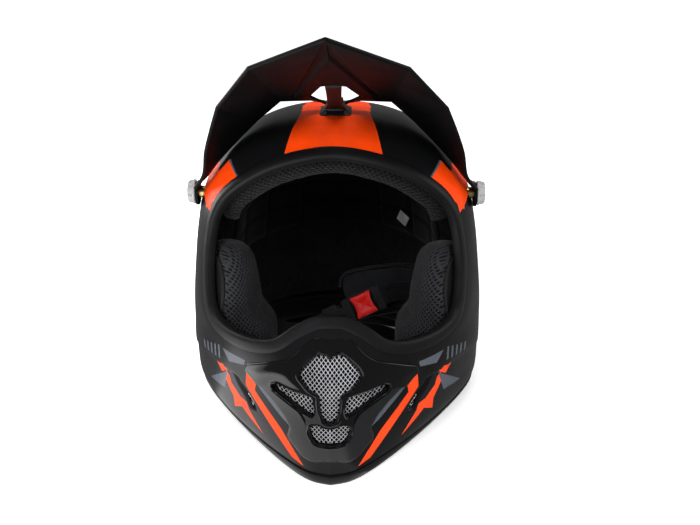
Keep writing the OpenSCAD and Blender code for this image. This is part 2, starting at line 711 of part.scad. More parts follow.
outer_shell();
eps_crown_liner();
eps_chin_liner();
comfort_liner();
brow_pad();
cheek_pad_left();
cheek_pad_right();
cheek_plate_left();
cheek_plate_right();
cheek_snaps_left();
cheek_snaps_right();
neck_roll();
eyeport_trim();
base_trim();
visor_peak();
visor_mount_base();
visor_centre_screw();
crown_insert();
visor_knob_left();
visor_knob_right();
visor_insert_left();
visor_insert_right();
mouth_vent_housing();
mouth_vent_mesh();
chin_vent_left();
chin_vent_right();
rear_vent_left();
rear_vent_right();
strap_left();
strap_right();
strap_plate_left();
strap_plate_right();
strap_rivet_left();
strap_rivet_right();
strap_pad();
buckle_housing();
buckle_button();
buckle_springs();
buckle_tongue();
size_tag();
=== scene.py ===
import math

import bmesh
import bpy
import numpy as np
from mathutils import Matrix, Vector
from mathutils.geometry import delaunay_2d_cdt
from mathutils.kdtree import KDTree


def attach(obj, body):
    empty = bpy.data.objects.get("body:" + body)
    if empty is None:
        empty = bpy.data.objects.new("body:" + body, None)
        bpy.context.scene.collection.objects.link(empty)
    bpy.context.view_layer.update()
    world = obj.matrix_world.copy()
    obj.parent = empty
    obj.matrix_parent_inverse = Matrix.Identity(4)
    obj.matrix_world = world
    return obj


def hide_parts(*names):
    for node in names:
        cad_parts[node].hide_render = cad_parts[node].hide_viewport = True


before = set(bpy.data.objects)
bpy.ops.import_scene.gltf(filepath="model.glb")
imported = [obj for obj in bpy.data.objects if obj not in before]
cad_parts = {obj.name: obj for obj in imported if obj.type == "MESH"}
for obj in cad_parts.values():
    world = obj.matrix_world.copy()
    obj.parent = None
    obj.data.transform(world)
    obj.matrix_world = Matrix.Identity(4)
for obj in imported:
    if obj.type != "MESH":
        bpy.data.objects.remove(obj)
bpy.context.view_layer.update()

MM = 0.001

# ---- The shell's surface, in millimetres, as the CAD model has it ----

# The columns: height, front, back, half width, where along Y it is widest, and the fullness
# along Y and along X
HEIGHT, FRONT, BACK, HALF, WIDEST, FULL_Y, FULL_X = range(7)
STATIONS = np.array([
    [0, -163.5, 160, 120, 27, 0.82, 1.41],
    [18, -166.5, 172, 126.5, 27, 1.1, 1.33],
    [42, -168, 180, 127.5, 27, 1.28, 1.38],
    [68, -163.5, 183, 128, 27, 1.4, 1.54],
    [96, -150, 184, 127, 26, 1.51, 1.74],
    [126, -129, 182, 124, 25, 1.65, 1.9],
    [158, -111, 177, 120, 25, 1.8, 2],
    [188, -99, 166, 113.5, 25, 1.95, 2],
    [215, -83, 145, 99.5, 24, 2, 2],
    [237, -59, 114, 76, 22, 2, 2],
    [251, -26, 74, 45, 20, 2, 2],
    [255.5, 18, 18, 0, 18, 2, 2],
    [251, 62, -38, -45, 16, 2, 2],
])
STATIONS = np.vstack([2 * STATIONS[0] - STATIONS[1], STATIONS])
LAST = len(STATIONS) - 3
CROWN_Z = 255.5
# An inset shrinks the surface by its share of these distances from the middle
REACH_SIDE, REACH_FRONT, REACH_BACK = 128, 192, 158
BACK_ROUND = 2.15
# How much the chin's tip is blunted, and over what half width
CHIN_BLUNT, CHIN_WIDTH = 6, 13
# The blunting fades out between these heights
CHIN_FADE = (38, 84)
EASE = 0.2


def ramp(value, low, high):
    """A smooth step from 0 at low to 1 at high."""
    t = np.clip((value - low) / (high - low), 0, 1)
    return t * t * (3 - 2 * t)


def spline(p, u):
    """Catmull-Rom between the middle two of four rows."""
    a, b, c, d = p
    return 0.5 * (2 * b + (c - a) * u + (2 * a - 5 * b + 4 * c - d) * u * u
                  + (3 * b - a - 3 * c + d) * u ** 3)


def unit(v):
    """The same directions, one unit long."""
    return v / np.maximum(1e-9, np.linalg.norm(v, axis=-1, keepdims=True))


def travelled(path):
    """How far along a path each of its points is."""
    return np.concatenate([[0], np.cumsum(np.linalg.norm(np.diff(path, axis=0), axis=1))])


def signed_power(v, e):
    return np.sign(v) * np.abs(v) ** e


def turns(n):
    """The angles of n even steps once round."""
    return np.linspace(0, 2 * math.pi, n, endpoint=False)


def station(s):
    """The columns of STATIONS at a place s along them, whose whole numbers are its rows."""
    s = np.asarray(s, float)
    i = np.minimum(np.floor(s).astype(int), LAST - 1)
    return spline([STATIONS[i + k] for k in range(4)], (s - i)[..., None])


S_TABLE = np.linspace(0, LAST, 4401)
Z_TABLE = station(S_TABLE)[:, HEIGHT]


def s_at(z):
    return np.interp(z, Z_TABLE, S_TABLE)


def eased(u, r):
    """Undoes uneased."""
    c = EASE * (2 - r[..., FULL_Y])
    return u * u / np.maximum(1e-9, u + c * (1 - u))


def uneased(v, r):
    """Rounds the front's curve off where it meets the back's at the widest place."""
    c = EASE * (2 - r[..., FULL_Y])
    b = v * (1 - c)
    return (b + np.sqrt(np.maximum(0, b * b + 4 * v * c))) / 2


def skin(s, a, inset=0.0):
    """Points of the skin at station places s and angles a from the front, moved in by inset."""
    s, a, inset = np.broadcast_arrays(np.asarray(s, float), np.asarray(a, float), inset)
    r = station(s)
    front = np.cos(a) >= 0
    end = np.where(front, r[..., FRONT], r[..., BACK]) - r[..., WIDEST]
    k = 1 - inset / np.where(front, REACH_FRONT, REACH_BACK)
    v = np.abs(np.cos(a)) ** (2 / np.where(front, r[..., FULL_Y], BACK_ROUND))
    bulge = np.where(front, uneased(v, r), v)
    across = np.abs(np.sin(a)) ** np.where(front, 2 / r[..., FULL_X], 1)
    x = r[..., HALF] * (1 - inset / REACH_SIDE) * np.sign(np.sin(a)) * across
    blunt = np.where(front, CHIN_BLUNT * np.exp(-(x / CHIN_WIDTH) ** 2), 0)
    blunt = blunt * (1 - ramp(r[..., HEIGHT], *CHIN_FADE))
    return np.stack([x, r[..., WIDEST] + k * end * bulge + blunt,
                     r[..., HEIGHT] * (1 - inset / CROWN_Z)], -1)


def skin_normal(s, a):
    step = 0.004
    high = np.minimum(s + step, LAST - 0.01)
    up = skin(high, a) - skin(high - 2 * step, a)
    around = skin(s, a + step) - skin(s, a - step)
    return unit(np.cross(around, up))


def from_front(x, z):
    """Station place and angle of the skin's front at an x and a z."""
    x, z = np.asarray(x, float), np.asarray(z, float)
    s = s_at(z)
    r = station(s)
    u = np.minimum(1, np.abs(x) / np.maximum(1e-6, r[..., HALF]))
    return s, np.sign(x) * np.arcsin(u ** (r[..., FULL_X] / 2))


def from_side(y, z):
    """Station place and angle of the skin's right side at a y and a z."""
    y, z = np.asarray(y, float), np.asarray(z, float)
    s = s_at(z)
    r = station(s)
    front = y < r[..., WIDEST]
    end = np.where(front, r[..., FRONT], r[..., BACK]) - r[..., WIDEST]
    u = np.clip((y - r[..., WIDEST]) / end, 0, 1)
    c = np.where(front, eased(u, r) ** (r[..., FULL_Y] / 2), u ** (BACK_ROUND / 2))
    a = np.arccos(np.clip(c, 0, 1))
    return s, np.where(front, a, math.pi - a)


def from_back(x, z):
    """Station place and angle of the skin's back at an x and a z."""
    x, z = np.asarray(x, float), np.asarray(z, float)
    s = s_at(z)
    r = station(s)
    u = np.minimum(1, np.abs(x) / np.maximum(1e-6, r[..., HALF]))
    return s, np.where(x < 0, -1, 1) * (math.pi - np.arcsin(u))


def on_front(x, z, lift=0.0):
    """Points of the skin's front, lifted out along the skin's normal."""
    s, a = from_front(x, z)
    return skin(s, a) + skin_normal(s, a) * np.asarray(lift, float)[..., None]


def side_x(y, z, inset=0.0):
    """How far out the right side is at a y and a z."""
    s, a = from_side(y, np.asarray(z, float) / (1 - inset / CROWN_Z))
    return skin(s, a, inset)[..., 0]


# ---- Outlines ----

def flipped(points):
    return [(-x, z) for x, z in points]


def whole(half):
    """A closed outline from its right half, which runs from the middle to the middle."""
    return list(half) + [(-x, z) for x, z in reversed(half) if x > 0]


def resampled(points, step, closed=True):
    """Straight edges cut into steps no longer than step."""
    p = np.asarray(points, float)
    q = np.roll(p, -1, 0) if closed else p[1:]
    out = []
    for a, b in zip(p, q):
        n = max(1, int(math.ceil(np.linalg.norm(b - a) / step)))
        out.extend(a + (b - a) * (k / n) for k in range(n))
    if not closed:
        out.append(p[-1])
    return np.array(out)


def smooth_loop(points, n):
    p = np.asarray(points, float)
    rows = [np.roll(p, 1 - k, 0) for k in range(4)]
    return np.concatenate([np.array([spline([row[i] for row in rows], k / n)
                                     for k in range(n)]) for i in range(len(p))])


def smooth_line(points, n):
    p = np.asarray(points, float)
    p = np.vstack([2 * p[0] - p[1], p, 2 * p[-1] - p[-2]])
    out = [spline(p[i:i + 4], k / n) for i in range(len(p) - 3) for k in range(n)]
    return np.array(out + [p[-2]])


def rounded(points, radius, n=4):
    """An outline with its corners rounded off."""
    p = np.asarray(points, float)
    out = []
    for i, corner in enumerate(p):
        before, after = p[i - 1] - corner, p[(i + 1) % len(p)] - corner
        lb, la = np.linalg.norm(before), np.linalg.norm(after)
        cut = min(radius, lb * 0.42, la * 0.42)
        a, b = corner + before * cut / lb, corner + after * cut / la
        for k in range(n + 1):
            t = k / n
            out.append(a * (1 - t) ** 2 + corner * 2 * t * (1 - t) + b * t * t)
    return np.array(out)


def inside(points, outline):
    """Which points lie inside a closed outline."""
    x, y = points[..., 0], points[..., 1]
    hit = np.zeros(x.shape, bool)
    o = np.asarray(outline, float)
    for (x0, y0), (x1, y1) in zip(o, np.roll(o, -1, 0)):
        if y0 == y1:
            continue
        cross = (y0 > y) != (y1 > y)
        hit ^= cross & (x < (x1 - x0) * (y - y0) / (y1 - y0) + x0)
    return hit


def edge_distance(points, outline, closed=True):
    """Distance from points to the nearest edge of an outline."""
    o = np.asarray(outline, float)
    ends = np.roll(o, -1, 0) if closed else o[1:]
    best = np.full(points.shape[:-1], 1e9)
    for a, b in zip(o, ends):
        d = b - a
        t = np.clip(((points - a) @ d) / max(1e-9, d @ d), 0, 1)
        best = np.minimum(best, np.linalg.norm(points - a - t[..., None] * d, axis=-1))
    return best


# ---- Meshes ----

def placed(name, data):
    """A new object in the scene, made of this mesh, lamp or camera."""
    obj = bpy.data.objects.new(name, data)
    bpy.context.scene.collection.objects.link(obj)
    return obj


def smoothed(mesh, sharp):
    """Smooth shading across every edge that turns by less than an angle."""
    mesh.shade_smooth()
    mesh.set_sharp_from_angle(angle=math.radians(sharp))


def new_object(name, points_mm, faces, material, sharp=35):
    """An object whose doubled points are joined and whose faces look outwards."""
    mesh = bpy.data.meshes.new(name)
    mesh.from_pydata((np.asarray(points_mm, float) * MM).tolist(), [], faces)
    mesh.validate()
    bm = bmesh.new()
    bm.from_mesh(mesh)
    bmesh.ops.remove_doubles(bm, verts=bm.verts, dist=1e-6)
    bmesh.ops.dissolve_degenerate(bm, dist=1e-7, edges=bm.edges)
    bmesh.ops.recalc_face_normals(bm, faces=bm.faces)
    bm.to_mesh(mesh)
    bm.free()
    smoothed(mesh, sharp)
    mesh.materials.append(material)
    return placed(name, mesh)


def apply_modifiers(obj):
    dg = bpy.context.evaluated_depsgraph_get()
    mesh = bpy.data.meshes.new_from_object(obj.evaluated_get(dg))
    obj.modifiers.clear()
    obj.data = mesh
    return obj


def bevel(obj, width, segments, angle):
    """Adds a modifier that rounds the edges sharper than an angle."""
    mod = obj.modifiers.new("eased_edges", "BEVEL")
    mod.width = width * MM
    mod.segments = segments
    mod.limit_method = "ANGLE"
    mod.angle_limit = math.radians(angle)


def bevelled(obj, width, angle):
    """Rounds an object's hard edges for good."""
    bevel(obj, width, 3, angle)
    apply_modifiers(obj)
    smoothed(obj.data, angle)
    return obj


def strip_faces(m, n, loop=False):
    """Quads between m rings of n points each, the last joined to the first in a loop."""
    faces = []
    for k in range(m if loop else m - 1):
        a, b = k * n, ((k + 1) % m) * n
        for i in range(n):
            j = (i + 1) % n
            faces.append((a + i, b + i, b + j, a + j))
    return faces


def grid_faces(rows, cols):
    """Quads between rows of points."""
    return [(k, k + 1, k + cols + 1, k + cols)
            for r in range(rows - 1) for k in range(r * cols, r * cols + cols - 1)]


def loft(name, rings, material, loop=False, sharp=35):
    """A tube through rings of points, closed into a loop or capped at its ends."""
    rings = np.asarray(rings, float)
    m, n = rings.shape[:2]
    points = rings.reshape(-1, 3)
    faces = strip_faces(m, n, loop)
    if not loop:
        faces.append(tuple(range(n)))
        faces.append(tuple(range((m - 1) * n, m * n)))
    return new_object(name, points, faces, material, sharp)


def joined(name, objects):
    """Several objects as one, with their materials kept."""
    materials = []
    bm = bmesh.new()
    for obj in objects:
        first = len(bm.faces)
        bm.from_mesh(obj.data)
        bm.faces.ensure_lookup_table()
        materials += [m for m in obj.data.materials if m not in materials]
        slots = [materials.index(m) for m in obj.data.materials]
        for face in bm.faces[first:]:
            face.material_index = slots[face.material_index]
        bpy.data.objects.remove(obj)
    mesh = bpy.data.meshes.new(name)
    bm.to_mesh(mesh)
    bm.free()
    for material in materials:
        mesh.materials.append(material)
    return placed(name, mesh)


def mirrored(obj, name):
    """A copy of an object on the other side of the middle."""
    mesh = obj.data.copy()
    mesh.transform(Matrix.Diagonal((-1, 1, 1, 1)))
    mesh.flip_normals()
    return placed(name, mesh)


def triangulated(loops, lines, extra, merge):
    """Triangles whose edges follow closed loops and open lines, with extra points too."""
    points, edges = [], []
    for k, path in enumerate(loops + lines):
        n, base = len(path), len(points)
        points.extend(map(tuple, path))
        edges.extend((base + i, base + (i + 1) % n) for i in range(n if k < len(loops) else n - 1))
    points.extend(map(tuple, extra))
    found = delaunay_2d_cdt([Vector(p) for p in points], edges, [], 0, merge, False)
    return np.array([tuple(v) for v in found[0]]), np.array([f for f in found[2] if len(f) == 3])


def filled(outline, holes=(), extra=()):
    """Triangles inside a closed outline and outside its holes."""
    flat, faces = triangulated([outline, *holes], [], extra, 1e-5)
    middle = flat[faces].mean(1)
    keep = inside(middle, outline)
    for hole in holes:
        keep &= ~inside(middle, hole)
    return flat, faces[keep]


def near_points(outline, depths, keep=None):
    """Rows of points alongside an outline, only where keep says yes if it is given."""
    o = np.asarray(outline, float)
    d = np.roll(o, -1, 0) - np.roll(o, 1, 0)
    across = unit(np.stack([-d[:, 1], d[:, 0]], -1))
    rows = []
    for depth in depths:
        for side in (-1, 1):
            p = o + across * side * depth
            p = p[edge_distance(p, o) > depth * 0.85]
            rows.append(p if keep is None else p[keep(p)])
    return np.concatenate(rows)


def grid_points(x_range, z_range, step):
    x, z = np.meshgrid(np.arange(*x_range, step), np.arange(*z_range, step))
    return np.stack([x.ravel(), z.ravel()], -1)


def tree_of(points):
    """A search tree of points, the flat ones at height 0."""
    tree = KDTree(len(points))
    for k, p in enumerate(points):
        tree.insert((*p, 0)[:3], k)
    tree.balance()
    return tree


def thinned(points, fixed, gap):
    """The points that lie no nearer than gap to any of the fixed ones."""
    tree = tree_of(fixed)
    return np.array([p for p in points if tree.find((*p, 0))[2] >= gap])


def stand_in(piece, node, body):
    """The piece stands for a CAD node, which is hidden, and rides on a body."""
    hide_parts(node)
    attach(piece, body)


# ---- Materials ----

class Paint:
    """A Principled material whose nodes are added one by one."""

    def __init__(self, name, color, roughness, **uniform):
        self.mat = bpy.data.materials.new(name)
        self.mat.use_nodes = True
        self.tree = self.mat.node_tree
        self.shader = self.tree.nodes["Principled BSDF"]
        self.shader.inputs["Base Color"].default_value = (*color, 1)
        self.shader.inputs["Roughness"].default_value = roughness
        for key, value in uniform.items():
            self.shader.inputs[key.replace("_", " ")].default_value = value
        self.place = self.add("ShaderNodeTexCoord").outputs["Object"]

    def add(self, kind, **settings):
        node = self.tree.nodes.new(kind)
        for key, value in settings.items():
            setattr(node, key, value)
        return node

    def feed(self, socket, value):
        if isinstance(value, bpy.types.NodeSocket):
            self.tree.links.new(value, socket)
        elif isinstance(value, (tuple, list)) and len(value) == 3 and socket.type == "RGBA":
            socket.default_value = (*value, 1)
        else:
            socket.default_value = value

    def math(self, operation, a, b=0.0):
        node = self.add("ShaderNodeMath", operation=operation)
        self.feed(node.inputs[0], a)
        self.feed(node.inputs[1], b)
        return node.outputs[0]

    def times(self, first, *others):
        for other in others:
            first = self.math("MULTIPLY", first, other)
        return first

    def plus(self, a, b):
        return self.math("ADD", a, b)

    def minus(self, a, b):
        return self.math("SUBTRACT", a, b)

    def mix(self, factor, a, b):
        node = self.add("ShaderNodeMix", data_type="RGBA")
        self.feed(node.inputs["Factor"], factor)
        self.feed(node.inputs[6], a)
        self.feed(node.inputs[7], b)
        return node.outputs[2]

    def spread(self, value, low, high, to_low=0.0, to_high=1.0):
        node = self.add("ShaderNodeMapRange", interpolation_type="SMOOTHSTEP")
        for socket, v in zip(node.inputs, (value, low, high, to_low, to_high)):
            self.feed(socket, v)
        return node.outputs[0]

    def noise(self, scale, detail=3.0, rough=0.5, place=None, stretch=None):
        node = self.add("ShaderNodeTexNoise")
        node.inputs["Scale"].default_value = scale
        node.inputs["Detail"].default_value = detail
        node.inputs["Roughness"].default_value = rough
        self.feed(node.inputs["Vector"], self.stretched(place or self.place, stretch))
        return node.outputs["Fac"]

    def stretched(self, place, stretch=None, turn=0.0):
        if not stretch and not turn:
            return place
        node = self.add("ShaderNodeMapping")
        self.feed(node.inputs["Vector"], place)
        node.inputs["Scale"].default_value = stretch or (1, 1, 1)
        node.inputs["Rotation"].default_value = (0, 0, turn)
        return node.outputs[0]

    def dots(self, scale, place, turn):
        """Distance from the nearest dot of a regular grid."""
        node = self.add("ShaderNodeTexVoronoi", voronoi_dimensions="2D")
        node.inputs["Scale"].default_value = scale
        node.inputs["Randomness"].default_value = 0.0
        self.feed(node.inputs["Vector"], self.stretched(place, None, turn))
        return node.outputs["Distance"]

    def attribute(self, name):
        return self.add("ShaderNodeAttribute", attribute_name=name).outputs["Vector"]

    def split(self, vector):
        node = self.add("ShaderNodeSeparateXYZ")
        self.feed(node.inputs[0], vector)
        return node.outputs

    def bump(self, height, distance_mm, strength=1.0, under=None):
        node = self.add("ShaderNodeBump")
        node.inputs["Distance"].default_value = distance_mm * MM
        node.inputs["Strength"].default_value = strength
        self.feed(node.inputs["Height"], height)
        if under is not None:
            self.feed(node.inputs["Normal"], under)
        self.feed(self.shader.inputs["Normal"], node.outputs[0])
        return node.outputs[0]

    def color(self, value):
        self.feed(self.shader.inputs["Base Color"], value)

    def roughness(self, value):
        self.feed(self.shader.inputs["Roughness"], value)

    def edges(self):
        """Where the surface turns outwards sharply: 0 on flats, 1 on edges."""
        geometry = self.add("ShaderNodeNewGeometry")
        return self.spread(geometry.outputs["Pointiness"], 0.52, 0.6)


def tinted(color, factor, lift=0.0):
    """A colour made darker or lighter."""
    return tuple(min(1.0, c * factor + lift) for c in color)


def moulded(name, color, roughness, grain, depth, wear, worn=None, **uniform):
    """Painted or moulded plastic: a fine grain, uneven gloss, scuffs and paler edges."""
    p = Paint(name, color, roughness, **uniform)
    cloud = p.noise(22.0, 4.0, 0.6)
    scuff = p.spread(p.noise(260.0, 2.0, 0.5, None, (1, 0.08, 1)), 0.68, 0.78)
    pale = worn or tinted(color, 1.5, 0.004)
    shade = p.mix(p.spread(cloud, 0.3, 0.7), tinted(color, 0.86),
                  tinted(color, 1.1))
    shade = p.mix(p.times(p.edges(), wear), shade, pale)
    shade = p.mix(p.times(scuff, 0.12), shade, pale)
    p.color(shade)
    gloss = p.spread(cloud, 0.25, 0.75, roughness * 0.88, min(1.0, roughness * 1.12))
    p.roughness(p.plus(gloss, p.times(scuff, 0.06)))
    p.bump(p.noise(grain, 2.0, 0.6), depth)
    return p.mat


def metal(name, color, roughness, shine=1.0):
    """Plated or bare metal with fine brushing and slight tarnish."""
    p = Paint(name, color, roughness, Metallic=shine)
    grain = p.noise(900.0, 2.0, 0.6, None, (1, 1, 12))
    stain = p.noise(70.0, 3.0, 0.6)
    p.color(p.mix(p.spread(stain, 0.35, 0.75), color, tinted(color, 0.72)))
    p.roughness(p.spread(grain, 0.3, 0.7, roughness * 0.75, roughness * 1.35))
    p.bump(grain, 0.02)
    return p.mat


def spacer_mesh(name, dark, light, pitch=3.1):
    """Knitted spacer fabric: rows of deep dimples, painted near black as their shade, with pale
    ridges of yarn between them.
    Its place comes from the weave attribute, which is in millimetres along the cloth."""
    p = Paint(name, light, 0.78, Sheen_Weight=0.06, Sheen_Roughness=0.4,
              Specular_IOR_Level=0.2)
    place = p.attribute("weave")
    far = p.dots(1.0 / pitch, place, math.radians(45))
    hole = p.spread(far, 0.2, 0.44, 1.0, 0.0)
    yarn = p.noise(2.4, 2.0, 0.6, place)
    ridge = p.mix(p.spread(yarn, 0.3, 0.75), tinted(light, 0.6),
                  tinted(light, 1.5))
    tone = p.noise(24.0, 3.0, 0.5)
    ridge = p.mix(p.spread(tone, 0.3, 0.8, 0.0, 0.45), ridge, tinted(light, 0.7))
    # Painted shade: the dimples take the near-black colour
    p.color(p.mix(hole, ridge, dark))
    p.roughness(p.spread(yarn, 0.2, 0.8, 0.68, 0.9))
    knit = p.bump(p.noise(5.0, 2.0, 0.6, place), 0.25)
    p.bump(hole, 1.1, 0.9, knit).node.invert = True
    return p.mat


def brushed_cloth(name, color, pile):
    """Soft brushed lining cloth with a fine knit and uneven nap."""
    p = Paint(name, color, 0.92, Sheen_Weight=pile, Sheen_Roughness=0.6,
              Specular_IOR_Level=0.15)
    nap = p.noise(60.0, 4.0, 0.65)
    p.color(p.mix(p.spread(nap, 0.3, 0.75), tinted(color, 0.7),
                  tinted(color, 1.45)))
    p.roughness(p.spread(nap, 0.2, 0.8, 0.85, 1.0))
    fibre = p.bump(p.noise(2600.0, 2.0, 0.7), 0.16)
    p.bump(p.noise(420.0, 3.0, 0.6), 0.3, 0.6, fibre)
    return p.mat


def woven(name, color, pitch=1.15):
    """Nylon webbing: a twill of flat yarns, from the weave attribute in millimetres, its crowns
    painted lighter and its hollows darker as painted light and shade.
    """
    p = Paint(name, color, 0.5, Sheen_Weight=0.04, Sheen_Roughness=0.35,
              Specular_IOR_Level=0.25)
    u, v, _ = p.split(p.attribute("weave"))
    turn = 2 * math.pi / pitch
    a = p.math("SINE", p.times(p.plus(u, v), turn))
    b = p.math("SINE", p.times(p.minus(u, v), turn))
    yarn = p.times(a, b)
    rib = p.math("SINE", p.times(v, turn * 0.5))
    weave = p.plus(p.times(yarn, 0.35), p.times(rib, 0.3))
    # Painted light and shade: the colour follows the weave's height
    p.color(p.mix(p.spread(weave, -0.5, 0.6), tinted(color, 0.45),
                  tinted(color, 1.7)))
    p.roughness(p.spread(weave, -0.5, 0.6, 0.62, 0.42))
    p.bump(weave, 0.3)
    return p.mat


def rubber(name, color, roughness, shine):
    p = Paint(name, color, roughness, Specular_IOR_Level=shine)
    dust = p.noise(30.0, 5.0, 0.65)
    p.color(p.mix(p.spread(dust, 0.45, 0.85, 0.0, 0.5), color, tinted(color, 2.1)))
    p.roughness(p.spread(dust, 0.3, 0.8, roughness * 0.92, roughness * 1.18))
    p.bump(p.noise(1900.0, 3.0, 0.7), 0.035)
    return p.mat


def bead_foam(name, color):
    """Moulded bead foam, whose cells show as shallow polygons."""
    p = Paint(name, color, 0.8, Specular_IOR_Level=0.15)
    cell = p.add("ShaderNodeTexVoronoi", feature="DISTANCE_TO_EDGE")
    cell.inputs["Scale"].default_value = 330.0
    p.feed(cell.inputs["Vector"], p.place)
    seam = p.spread(cell.outputs["Distance"], 0.0, 0.16)
    p.color(p.mix(seam, tinted(color, 0.4), tinted(color, 1.25)))
    p.roughness(p.spread(p.noise(50.0), 0.3, 0.7, 0.72, 0.88))
    p.bump(seam, 0.3)
    return p.mat


ORANGE = (0.82, 0.053, 0.003)
# The panel's colour is the shell's black made lighter: painted light for the light the raised chin
# panel catches
shell_black, shell_orange, shell_grey, shell_panel_lit = [
    moulded("shell_" + name, color, roughness, 1500.0, 0.02, 0.0, Specular_IOR_Level=shine)
    for name, color, roughness, shine in (
        ("black", (0.0042, 0.0043, 0.0048), 0.34, 0.12), ("orange", ORANGE, 0.4, 0.07),
        ("grey", (0.07, 0.078, 0.097), 0.36, 0.16), ("panel", (0.008, 0.0082, 0.009), 0.3, 0.3))]
shell_inner = moulded("shell_inner", (0.006, 0.006, 0.0065), 0.7, 500.0, 0.12, 0.0,
                      Specular_IOR_Level=0.2)
trim_rubber = rubber("trim_rubber", (0.0045, 0.0046, 0.005), 0.42, 0.16)
rim_rubber = rubber("rim_rubber", (0.004, 0.0042, 0.0047), 0.36, 0.2)
gloss_black = moulded("gloss_black", (0.0018, 0.0018, 0.002), 0.1, 900.0, 0.003, 0.05,
                      (0.01, 0.01, 0.01), Specular_IOR_Level=0.3)
bright_mesh = metal("bright_mesh", (0.8, 0.8, 0.84), 0.36, shine=0.65)
plated = metal("plated_steel", (0.5, 0.5, 0.52), 0.3)
brass = metal("brass", (0.62, 0.45, 0.2), 0.28)
black_plastic = moulded("black_plastic", (0.005, 0.005, 0.0055), 0.34, 1300.0, 0.04, 0.15,
                        (0.02, 0.02, 0.02), Specular_IOR_Level=0.3)
matt_plastic = moulded("matt_plastic", (0.006, 0.006, 0.0065), 0.5, 1100.0, 0.06, 0.15,
                       (0.02, 0.02, 0.02), Specular_IOR_Level=0.25)
red_plastic = moulded("red_plastic", (0.33, 0.004, 0.003), 0.27, 900.0, 0.02, 0.12,
                      (0.6, 0.05, 0.04), Specular_IOR_Level=0.35)
knob_plastic = moulded("knob_plastic", (0.3, 0.3, 0.295), 0.38, 1200.0, 0.03, 0.2,
                       (0.8, 0.8, 0.8), Subsurface_Weight=0.15, Subsurface_Radius=(3, 3, 3),
                       Subsurface_Scale=0.001)
# Each fabric's first colour is the painted shade in its dimples, the second its yarn
pad_mesh = spacer_mesh("pad_mesh", (0.0006, 0.0006, 0.0008), (0.021, 0.0215, 0.0245))
# The brow pad's fabric is the cheek pads' made darker: painted shade for the shade it sits in
# behind the eyeport's upper edge
brow_mesh_shaded = spacer_mesh("brow_mesh_shaded", (0.0007, 0.0007, 0.0009), (0.006, 0.0062, 0.007))
lining = brushed_cloth("lining", (0.0022, 0.0023, 0.003), 0.02)
side_cloth = brushed_cloth("side_cloth", (0.005, 0.0052, 0.0062), 0.03)
webbing = woven("webbing", (0.006, 0.0062, 0.007))
tag_cloth = brushed_cloth("tag_cloth", (0.3, 0.305, 0.32), 0.1)
foam = bead_foam("foam", (0.005, 0.005, 0.0055))


# ---- Shell ----

# Outlines on the front are x and z. A half outline runs from the middle line over the right
# side and back to the middle line.
PORT = [
    (0, 234), (30, 229.5), (58, 218.5), (82, 201), (95, 182.5), (101, 158), (102.7, 133),
    (99.5, 108), (86.6, 100.5), (64, 101), (43, 106), (27, 117), (12, 124.5), (0, 125.5),
]
port_edge = smooth_loop(whole(PORT), 6)
port_right = [(x, z) for x, z in port_edge if x >= -1]

VENT_HOLE = [
    (0, 106), (13, 106), (26, 91.2), (46, 80.3), (46, 72), (22, 61.7), (17, 53.7), (17, 45.6),
    (11, 37), (0, 35.5),
]
# The scoop beside the mouth vent, and the slot at its bottom
SCOOP = [(81, 67), (74, 65.5), (67, 59), (61, 51), (57, 41), (65.5, 39.5), (69.5, 48.5), (76, 57)]
SLOT = [(73, 61.6), (70.5, 60.5), (63.6, 50.8), (60, 43), (64.6, 42.2), (67.7, 50.1)]
# The right rear vent's opening: x, z, length, width and lean in degrees
REAR_SLOT = (42, 150, 34, 9, -28)

# The panel round the lower half of the mouth vent, which stands out of the chin
PANEL = [
    (0, 21.6), (4.5, 21.2), (14.3, 19.5), (22, 22.9), (27.3, 29.6), (31, 32.7), (33.2, 36.2),
    (31.8, 42.5), (30.8, 46.2), (35.5, 54.3), (43, 61.7), (52, 67.9), (60.5, 72.1),
    (50.5, 74.7), (40, 84.3), (0, 84.1),
]
PANEL_LOOP = np.array(whole(PANEL), float)
# The cheek's crease, from the side to the scoop, seen from the front
CREASE = [(126, 48), (120, 54.9), (109, 62.6), (98.1, 64.4), (87.8, 64.9), (79.9, 66.8)]

# The orange and the grey shapes on the chin's right side
FLASHES = [
    [(66.6, 74.9), (58.5, 68.3), (59.6, 62.4), (37.8, 38.5), (21, 12.3), (30.5, 15.7),
     (48.5, 38.1), (67.6, 62.5)],
    [(86.7, 63.1), (83.3, 59), (82.2, 53.1), (74.2, 45.2), (68.4, 44.3), (66.5, 37.7),
     (54.7, 20.3), (67.5, 30), (73.3, 35.2), (81.2, 27.9), (81.4, 38.9), (88.2, 52.8)],
    [(96.2, 63.5), (88, 67.6), (84.7, 64.7), (91.3, 57)],
]
GREYS = [
    [(107, 34.1), (97.9, 47.1), (84.5, 63.8), (90.7, 39.5)],
    [(87.7, 82.5), (67.1, 84), (68.5, 79.3), (81.6, 74.9)],
    [(60.5, 72.1), (52, 67.5), (43, 61.3), (35.5, 53.8), (30.8, 45.7), (37, 50.2),
     (45, 57.6), (53, 64.8)],
]


def slits():
    """Five short grey strokes under the eyeport's corner, each leaning with the crease."""
    corners = [(91.2 + 4.1 * k, 82.4 - 2.35 * k, 11 - k) for k in range(5)]
    return [[(x, z), (x + 1.5, z - 0.5), (x + 0.8, z - drop), (x - 1.0, z - drop - 0.5)]
            for x, z, drop in corners]


# The temple's orange patch and its grey edge, seen from the front
TEMPLE_FRONT = [(77, 212), (86.4, 219.6), (97, 207), (106.5, 190), (106, 180)]
TEMPLE_LINE = [(74.6, 211.6), (84.6, 220.6), (86.4, 219.6), (77, 212)]
